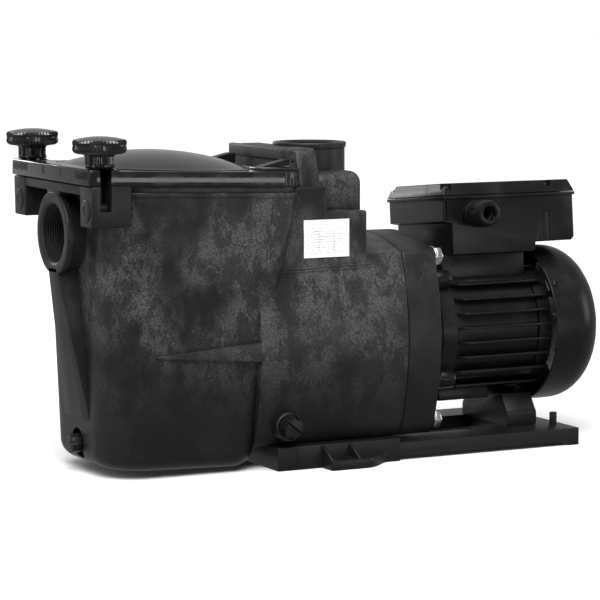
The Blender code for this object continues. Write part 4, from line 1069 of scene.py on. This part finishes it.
# ---- motor
@dataclass
class Motor:
    """The finned frame, its end shields, through bolts and fan cover."""

    fin_start: float = 0.411
    fin_end: float = 0.515
    frame_end: float = 0.505
    fin_pitch: float = 0.0147
    fin_radius: float = 0.073
    bolt_offset: float = 0.05
    cover_radius: float = 0.0801
    cover_start: float = 0.5175
    end: float = 0.58
    fin_half: float = 0.0013
    screw_x: float = 0.524
    slot_width: float = 0.0038
    slot_rings: tuple[tuple[float, int, float], ...] = (
        (0.015, 10, 0.006), (0.026, 16, 0.0085), (0.0375, 24, 0.009))
    screw_angles: tuple[float, ...] = (60.0, -60.0, 180.0)

    @property
    def corners(self) -> list[Point]:
        """Where the through bolts run, top ones first."""
        offset = self.bolt_offset
        return [(side * offset, rise * offset) for rise in (1, -1) for side in (-1, 1)]

    def build(self) -> None:
        """Make the motor's outer pieces."""
        self.frame()
        self.shields()
        self.fan_cover()
        self.through_bolts()

    def frame(self) -> None:
        """The barrel with its level fins, pads and bolt ears."""
        profile = mm(59.5, 392.3, 65, 392.3, 65.5, 392.9, 65.5, 410, 64, 411.6, 64, 504.4,
                     63.4, 505, 59.5, 505)
        frame_form = Form.lathe(profile, ROUND, True).at(TURN_TO_X)
        for row in range(-4, 5):
            rise = row * self.fin_pitch
            reach = (abs(rise) + self.fin_half) ** 2
            tip = sqrt(self.fin_radius ** 2 - reach)
            root = sqrt(max(0.0625 ** 2 - reach, 0.0001))
            tail = max(root, sqrt(max(0.0668 ** 2 - rise ** 2, 0)))
            points = [(self.fin_start, root), (self.fin_start, root + 0.4 * (tip - root)),
                      (self.fin_start + 0.006, tip), (self.fin_end, tip), (self.fin_end, tail),
                      (self.frame_end - 0.001, root)]
            low, high = rise - self.fin_half, rise + self.fin_half
            for outline in ([(x, -y) for x, y in points[::-1]], points):
                frame_form.add(Form.slab(outline, low, high, 0.0006))
        frame_form.add(Form.block((0.406, 0.503), 0.044, (0.05, 0.0743), 0.0012))
        frame_form.add(Form.block((0.406, 0.464), 0.026, (-0.0738, -0.061), 0.0012))
        for y, z in self.corners:
            ear = Form.bar(0.0095, 0.3923, 0.4078, MEDIUM, 0.0008).level(z, y)
            frame_form.add(ear)
            bridge = Form.block((0.408, 0.504), 0.004, (0.06, 0.069), 0.0012)
            turn = -atan(y / z) + (pi if z < 0 else 0)
            frame_form.add(bridge.at(Matrix.Rotation(turn, 4, "X")))
        frame_form.at(MOTOR).piece("motor_barrel", COAT, "motor_frame")

    def shields(self) -> None:
        """The front and rear end shields."""
        front = mm(14, 374.3, 64, 374.3, 65, 375.3, 65, 384, 64.2, 384.6, 64.2, 385.6, 65, 386.2,
                   65, 391.5, 64.5, 392, 59, 392, 59, 386, 26, 386, 26, 396, 20.3, 396, 20.3, 378,
                   14, 378)
        shield = Form.lathe(front, ROUND, True).at(TURN_TO_X)
        for y, z in self.corners:
            shield.add(Form.bar(0.0095, 0.3743, 0.392, MEDIUM, 0.0006).level(z, y))
        shield.add(Form.bar(0.003, 0.064, 0.0664, SMALL, 0.0004).turn(90, "X").shift(0.38))
        shield.at(MOTOR).piece("front_shield", COAT, "front_end_shield")
        rear = mm(14, 529, 20.3, 529, 66, 520, 66, 505.3, 59, 505.3, 59, 512, 26, 518, 26, 509,
                  20.3, 509, 20.3, 525, 14, 525)
        shield = Form.lathe(rear, ROUND, True).at(TURN_TO_X)
        for angle in self.screw_angles:
            lug = Form.block((0.5157, 0.529), 0.006, (0.062, 0.0763), 0.001)
            shield.add(lug.turn(angle, "X"))
        shield.at(MOTOR).piece("rear_shield", COAT, "rear_end_shield")

    def fan_cover(self) -> None:
        """The pressed fan cover with its rings of slots and three screws."""
        shoulder, wall = 0.034, 0.0016
        centre_r, centre_x = self.cover_radius - shoulder, self.end - shoulder
        outer = arc(centre_r, centre_x, shoulder, 90, 0, 12)
        inner = arc(centre_r, centre_x, shoulder - wall, 0, 90, 12)
        lip = [(self.cover_radius, self.cover_start + 0.0006),
               (self.cover_radius - 0.0005, self.cover_start),
               (self.cover_radius - wall, self.cover_start)]
        cover = Form.lathe([(0, self.end)] + outer + lip + inner + [(0, self.end - wall)])
        cutters = Form()
        for ring, count, length in self.slot_rings:
            for i in range(count):
                slot = Form.bar(self.slot_width / 2, -0.006, 0.006, 10)
                stretch = Matrix.Diagonal((length / self.slot_width, 1, 1, 1))
                slot.at(stretch).shift(ring, 0, self.end)
                cutters.add(slot.turn(360 * i / count))
        cover.cut(cutters).at(TURN_TO_X)
        for angle in self.screw_angles:
            dimple = mm(4.6, 79.9, 5, 80.1, 5, 79.6, 4.6, 79.4)
            ring = Form.lathe(dimple, SMALL, True).shift(self.screw_x).turn(angle, "X")
            cover.add(ring)
        cover.at(MOTOR).piece("fan_shroud", COAT, "fan_cover")
        for number, angle in enumerate(self.screw_angles, 1):
            profile = mm(0, 81.8, 2, 81.7, 3.2, 81.2, 3.6, 80.4, 1.8, 80.4, 1.8, 70, 0, 70)
            screw = Form.lathe(profile, SMALL)
            cross = Form.block((-0.002, 0.002), 0.0004, (0.0809, 0.083))
            cross.add(Form.block((-0.0004, 0.0004), (-0.002, -0.0004), (0.0809, 0.083)))
            cross.add(Form.block((-0.0004, 0.0004), (0.0004, 0.002), (0.0809, 0.083)))
            screw.cut(cross).shift(self.screw_x).turn(angle, "X")
            screw.at(MOTOR)
            screw.piece(f"shroud_screw_{number}", BLACK_STEEL, f"fan_cover_screw_{number}")

    def through_bolts(self) -> None:
        """The hexagon heads on the bolt ears."""
        for number, (y, z) in enumerate(self.corners, 1):
            bolt = Form.bar(0.005, 0.4083, 0.4107, 6, 0.0003)
            bolt.add(Form.bar(0.003, 0.36, 0.4085, SMALL))
            bolt.level(z, y).at(MOTOR)
            bolt.piece(f"through_bolt_{number}", STAINLESS, f"motor_bolt_{number}")


# ---- terminal box
@dataclass
class TerminalBox:
    """The wiring box with its cover, screws and empty cable gland."""

    half: float = 0.0565
    gland_x: float = 0.4346
    gland_z: float = 0.1146
    screws: tuple[Point, ...] = (
        (0.41, -0.051), (0.41, 0.051), (0.527, -0.051), (0.527, 0.051))

    def build(self) -> None:
        """Make the box, the cover, the cover screws and the gland."""
        self.shell()
        self.cover()
        self.gland()

    def shell(self) -> None:
        """The stepped shell with a lip, corner channels and a drip slot."""
        outer = mm(404, 133.5, 404, 108, 413, 106, 413, 74.6, 507.5, 74.6, 509.5, 76)
        outer += arc(0.514, 0.087, 0.0035, 190, 262, 4)
        outer += mm(553, 84, 556.5, 87.5, 556.5, 133.5)
        inner = mm(407, 140, 407, 111, 416, 109, 416, 77.6, 506, 77.6, 507.5, 87, 553.5, 87,
                   553.5, 140)
        shell = Form.slab(outer, -self.half, self.half, 0.0016, 3).at(SIDE_VIEW)
        hollow = Form.slab(inner, -0.0535, 0.0535).at(SIDE_VIEW)
        hole = Form.bar(0.0103, 0.045, 0.07).at(SIDE_VIEW).shift(self.gland_x, 0, self.gland_z)
        slot = Form.block((0.519, 0.528), (-0.06, -0.0552), (0.08, 0.115), 0.0006)
        channel = Form.block((0.402, 0.4075), (-0.06, -0.054), (0.1085, 0.1285), 0.0006)
        shell.cut(hollow, hole, slot, channel)
        lip = Form.block((0.402, 0.5585), 0.0585, (0.1304, 0.1337), 0.0008, 2)
        lip.cut(Form.block((0.407, 0.5535), 0.0535, (0.12, 0.14)))
        shell.add(lip)
        shell.at(MOTOR).piece("wiring_box", COAT, "terminal_box")

    def cover(self) -> None:
        """The chamfered cover with a sunk panel line and four screw wells."""
        cover = Form.block((0.402, 0.5585), 0.0585, (0.134, 0.1465))
        for vert in cover.bm.verts:
            if vert.co.z > 0.14:
                vert.co.x += 0.005 if vert.co.x < 0.48 else -0.005
                vert.co.y *= 0.0535 / 0.0585
        cover.soften(0.0014, 3)
        cover.cut(Form.block((0.408, 0.5525), 0.045, (0.13, 0.144)))
        wells = [Form.bar(0.0056, 0.14, 0.15).shift(x, y) for x, y in self.screws]
        holes = [Form.bar(0.0024, 0.13, 0.15, SMALL).shift(x, y) for x, y in self.screws]
        panel = Form.block((0.419, 0.518), 0.042, (0.1459, 0.15), 0.0)
        cover.cut(*wells, *holes, panel)
        cover.add(Form.block((0.42, 0.517), 0.041, (0.14, 0.1464), 0.0005))
        cover.at(MOTOR).piece("wiring_box_cover", COAT, "terminal_box_cover")
        for number, (x, y) in enumerate(self.screws, 1):
            profile = mm(0, 143.4, 2.6, 143.2, 3.8, 142.7, 4.2, 141.8, 4.2, 140.3, 1.7, 140.3,
                         1.7, 124, 0, 124)
            screw = Form.lathe(profile, SMALL)
            screw.cut(Form.block((-0.003, 0.003), 0.0005, (0.1424, 0.15)))
            screw.shift(x, y).at(MOTOR)
            screw.piece(f"box_screw_{number}", BLACK_STEEL, f"cover_screw_{number}")

    def gland(self) -> None:
        """The cable gland: hexagon body, sealing ring and ribbed dome nut, all empty."""
        out = MOTOR @ Matrix.Translation((self.gland_x, 0, self.gland_z)) @ SIDE_VIEW
        body = Form.bar(0.015, 0.0568, 0.0655, 6, 0.0008)
        body.add(Form.bar(0.0128, 0.064, 0.0665, MEDIUM, 0.0003))
        bore = Form.bar(0.0082, 0.04, 0.09)
        body.cut(bore)
        sleeve = mm(8.2, 78, 10.2, 78, 10.2, 50, 8.2, 50)
        body.add(Form.lathe(sleeve, MEDIUM, True))
        body.at(out).piece("gland_base", COAT, "gland_body")
        profile = mm(7.8, 95, 10, 95, 11.7, 94.4, 12.8, 92.5, 13.1, 89, 13.1, 70, 13.4, 69.6,
                     13.4, 66.8, 11.2, 66.8, 11.2, 88.5, 7.8, 90)
        nut = Form.lathe(profile, MEDIUM, True)
        for i in range(12):
            rib = Form.block((0.0122, 0.0135), 0.001, (0.07, 0.0885), 0.0004, 2)
            nut.add(rib.turn(30 * i))
        for i in range(6):
            claw = Form.block((0.0068, 0.0082), 0.0016, (0.089, 0.094), 0.0003, 1)
            nut.add(claw.turn(60 * i + 15))
        nut.at(out).piece("gland_cap", COAT, "gland_nut")


# ---- base
@dataclass
class Base:
    """The moulded base with foot tabs, and the saddle under the motor."""

    front: float = 0.196
    end: float = 0.5417
    half: float = 0.085
    block_end: float = 0.331
    tab: float = 0.1097

    def build(self) -> None:
        """Make the base and the saddle."""
        self.rails()
        self.saddle()

    def rails(self) -> None:
        """The base plate, its tabs with gussets, windows and pegs."""
        plate = Form.block((self.front + 0.002, self.end), self.half, (0.0, 0.0176), 0.001)
        under = Form.block((self.block_end, 0.529), 0.2, (-0.01, 0.004))
        window = Form.block((0.35, 0.485), 0.042, (-0.01, 0.03))
        plate.cut(under, window)
        head = Form.block((self.front, self.block_end), self.half + 0.0035, (0.0, 0.0229), 0.001)
        shallow = Form.block((0.21, 0.32), 0.07, (-0.01, 0.012))
        plate.add(head.cut(shallow))
        for x in (0.216, 0.242):
            for side in Side:
                y = side.span(0.0878, 0.0891)
                plate.add(Form.block((x, x + 0.0014), y, (0.001, 0.0215), 0.0003, 1))
        for side in Side:
            outline = [(0.244, 0.08), (0.244, self.tab), (0.284, self.tab)]
            outline += [(0.284 + 0.038 * t, self.tab - 0.0232 * t * t * (3 - 2 * t))
                        for t in (i / 10 for i in range(1, 11))] + [(0.322, 0.08)]
            points = outline if side is Side.RIGHT else outline[::-1]
            points = [(x, side.value * y) for x, y in points]
            tab = Form.slab(points, 0.0, 0.0095, 0.0009)
            hole = Form.bar(0.005, -0.01, 0.03, SMALL).shift(0.263, side.value * 0.0985)
            plate.add(tab.cut(hole))
            gusset = mirrored(mm(80, 5, 109.2, 5, 109.2, 9.8, 88, 22.6, 80, 22.6), side)
            for x in (0.2442, 0.274):
                plate.add(Form.slab(gusset, x, x + 0.0028, 0.0005).at(FRONT_VIEW))
            peg = Form.bar(0.0038, 0.01, 0.0298, SMALL, 0.0006)
            plate.add(peg.shift(0.531, side.value * 0.052))
        plate.at(ASSEMBLY).piece("base_plate", MOULDED_PLAIN, "pump_base")

    def saddle(self) -> None:
        """The saddle with its cradle, side gussets and window."""
        radius = 0.0736
        cradle = [(y, SHAFT_Z - sqrt(radius ** 2 - y ** 2))
                  for y in (-0.027 + 0.054 * i / 16 for i in range(17))]
        points = mm(-46, 17.9, 46, 17.9, 46, 30, 33, 50, 27.5, 50)
        points += cradle[::-1] + mm(-27.5, 50, -33, 50, -46, 30)
        saddle = Form.slab(points, 0.48, 0.5145, 0.0006).at(FRONT_VIEW)
        saddle.cut(Form.block((0.495, 0.52), 0.03, (0.01, 0.036)))
        for side in Side:
            y = side.span(0.0425, 0.0458)
            saddle.add(Form.block((0.4804, 0.5143), y, (0.0182, 0.033), 0.0008))
        saddle.at(ASSEMBLY).piece("motor_saddle", MOULDED_PLAIN, "motor_support")


# ---- nodes that keep their shape
@dataclass(frozen=True)
class KeptNodes:
    """Frame nodes that stay and take one finish."""

    look: Finish
    nodes: tuple[str, ...]

    def dress(self) -> None:
        """Give each node the finish."""
        for name in self.nodes:
            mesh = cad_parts[name].data
            mesh.materials.clear()
            mesh.materials.append(self.look.material())
            logging.info("%s dressed as %s", name, self.look.name)


KEPT = (
    KeptNodes(RUBBER, ("lid_seal", "front_drain_gasket", "side_drain_gasket", "housing_gasket",
                       "shaft_seal_head", "slinger", "gland_seal")),
    KeptNodes(GREY, ("strainer_basket", "diffuser", "impeller", "cooling_fan", "terminal_block",
                     "run_capacitor")),
    KeptNodes(STAINLESS, ("motor_shaft", "rotor", "front_bearing", "rear_bearing")),
    KeptNodes(BRASS, ("impeller_nut",)),
    KeptNodes(WINDING, ("stator",)),
    KeptNodes(CERAMIC, ("shaft_seal_seat",)),
    KeptNodes(LABEL, ("rating_label",)),
)


# ---- studio
@dataclass(frozen=True)
class Softbox:
    """An area light that faces the pump."""

    name: str
    place: Corner
    width: float
    height: float
    power: float

    def build(self) -> None:
        """Hang the light."""
        light = bpy.data.lights.new(self.name, "AREA")
        light.shape = "RECTANGLE"
        light.size = self.width
        light.size_y = self.height
        light.energy = self.power
        obj = placed(self.name, light)
        obj.location = self.place
        aim = Vector(PUMP_MIDDLE) - Vector(self.place)
        obj.rotation_euler = aim.to_track_quat("-Z", "Y").to_euler()


SOFTBOXES = (
    Softbox("key", (-0.7, -1.3, 1.7), 1.0, 1.0, 26),
    Softbox("side", (1.9, -0.9, 0.6), 0.6, 0.9, 6),
    Softbox("strip", (-1.9, -0.6, 0.5), 0.6, 0.8, 4.5),
    Softbox("low", (0.62, -1.6, 0.125), 0.8, 0.22, 2.0),
    Softbox("rim", (-0.4, 2.0, 0.8), 0.6, 0.6, 6),
)


@dataclass
class Studio:
    """A pale floor, soft lights and the camera."""

    lens: float = 162.6
    eye: Corner = (-0.9544, -2.3977, 0.4589)
    heading: float = 26.95
    dip: float = 6.46
    glow: float = 0.13
    far_glow: float = 0.52
    sky: float = 3.4
    sky_spread: float = 70
    sky_tilt: Point = (22, -14)

    def build(self) -> None:
        """Set up the floor, the world, the lights and the camera."""
        self.floor()
        self.world()
        self.sun()
        for light in SOFTBOXES:
            light.build()
        self.camera()

    def floor(self) -> None:
        """A wide pale floor just under the pump, left out of its reflections."""
        form = Form()
        bmesh.ops.create_grid(form.bm, x_segments=1, y_segments=1, size=12)
        mesh = bpy.data.meshes.new("floor")
        form.bm.to_mesh(mesh)
        form.bm.free()
        floor = placed("floor", mesh)
        floor.location.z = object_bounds()[0].z - 0.0002
        floor.visible_glossy = False
        graph = Graph(bpy.data.materials.new("floor_paper"))
        shade = graph.mix(graph.noise(3.0, 2.0), (0.88, 0.88, 0.88), (0.92, 0.92, 0.92))
        graph.set(Base_Color=shade, Roughness=0.75)
        mesh.materials.append(graph.owner)
        floor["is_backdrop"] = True

    def world(self) -> None:
        """White to the eye, but glowing on the pump more from behind than from in front."""
        world = bpy.data.worlds.new("studio")
        graph = Graph(world, "Background", "Generated")
        depth = {"Value": graph.along("Y"), "From Min": -1.0, "To Min": self.glow,
                 "To Max": self.far_glow}
        seen = {"Value": graph.add("ShaderNodeLightPath", output="Is Camera Ray"),
                "To Min": graph.add("ShaderNodeMapRange", {}, depth), "To Max": 1.0}
        graph.set(Color=(1, 1, 1, 1), Strength=graph.add("ShaderNodeMapRange", {}, seen))
        bpy.context.scene.world = world
        bpy.context.scene.view_settings.view_transform = "Standard"

    def sun(self) -> None:
        """A very wide sun that lights the floor evenly and casts soft shadows."""
        light = bpy.data.lights.new("sky", "SUN")
        light.energy = self.sky
        light.angle = radians(self.sky_spread)
        placed("sky", light).rotation_euler = (*map(radians, self.sky_tilt), 0)

    def camera(self) -> None:
        """The camera, far off and almost level."""
        data = bpy.data.cameras.new("camera")
        data.lens = self.lens
        data.sensor_width = 36
        obj = placed("camera", data)
        obj.location = ASSEMBLY @ Vector(self.eye)
        obj.rotation_euler = (radians(90 - self.dip), 0, radians(-self.heading))
        bpy.context.scene.camera = obj


def main() -> None:
    """Build every sub-assembly in order around the frame."""
    logging.basicConfig(level=logging.INFO, format="%(message)s")
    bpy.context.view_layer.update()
    front_plug = ASSEMBLY @ Matrix.Translation((0.031, 0, DRAIN_Z)) @ TURN_TO_X
    side_seat = Matrix.Translation((SIDE_DRAIN[0], -0.093, SIDE_DRAIN[1]))
    side_plug = ASSEMBLY @ side_seat @ Matrix.Rotation(-pi / 2, 4, "X")
    assemblies = [Studio(), Housing(), Lid(), *map(Clamp, Side),
                  DrainPlug("front", front_plug, 75), DrainPlug("side", side_plug, 40),
                  SealPlate(), Motor(), TerminalBox(), Base()]
    for assembly in assemblies:
        logging.info("building %s", type(assembly).__name__)
        assembly.build()
    for kept in KEPT:
        kept.dress()


if __name__ == "__main__":
    main()
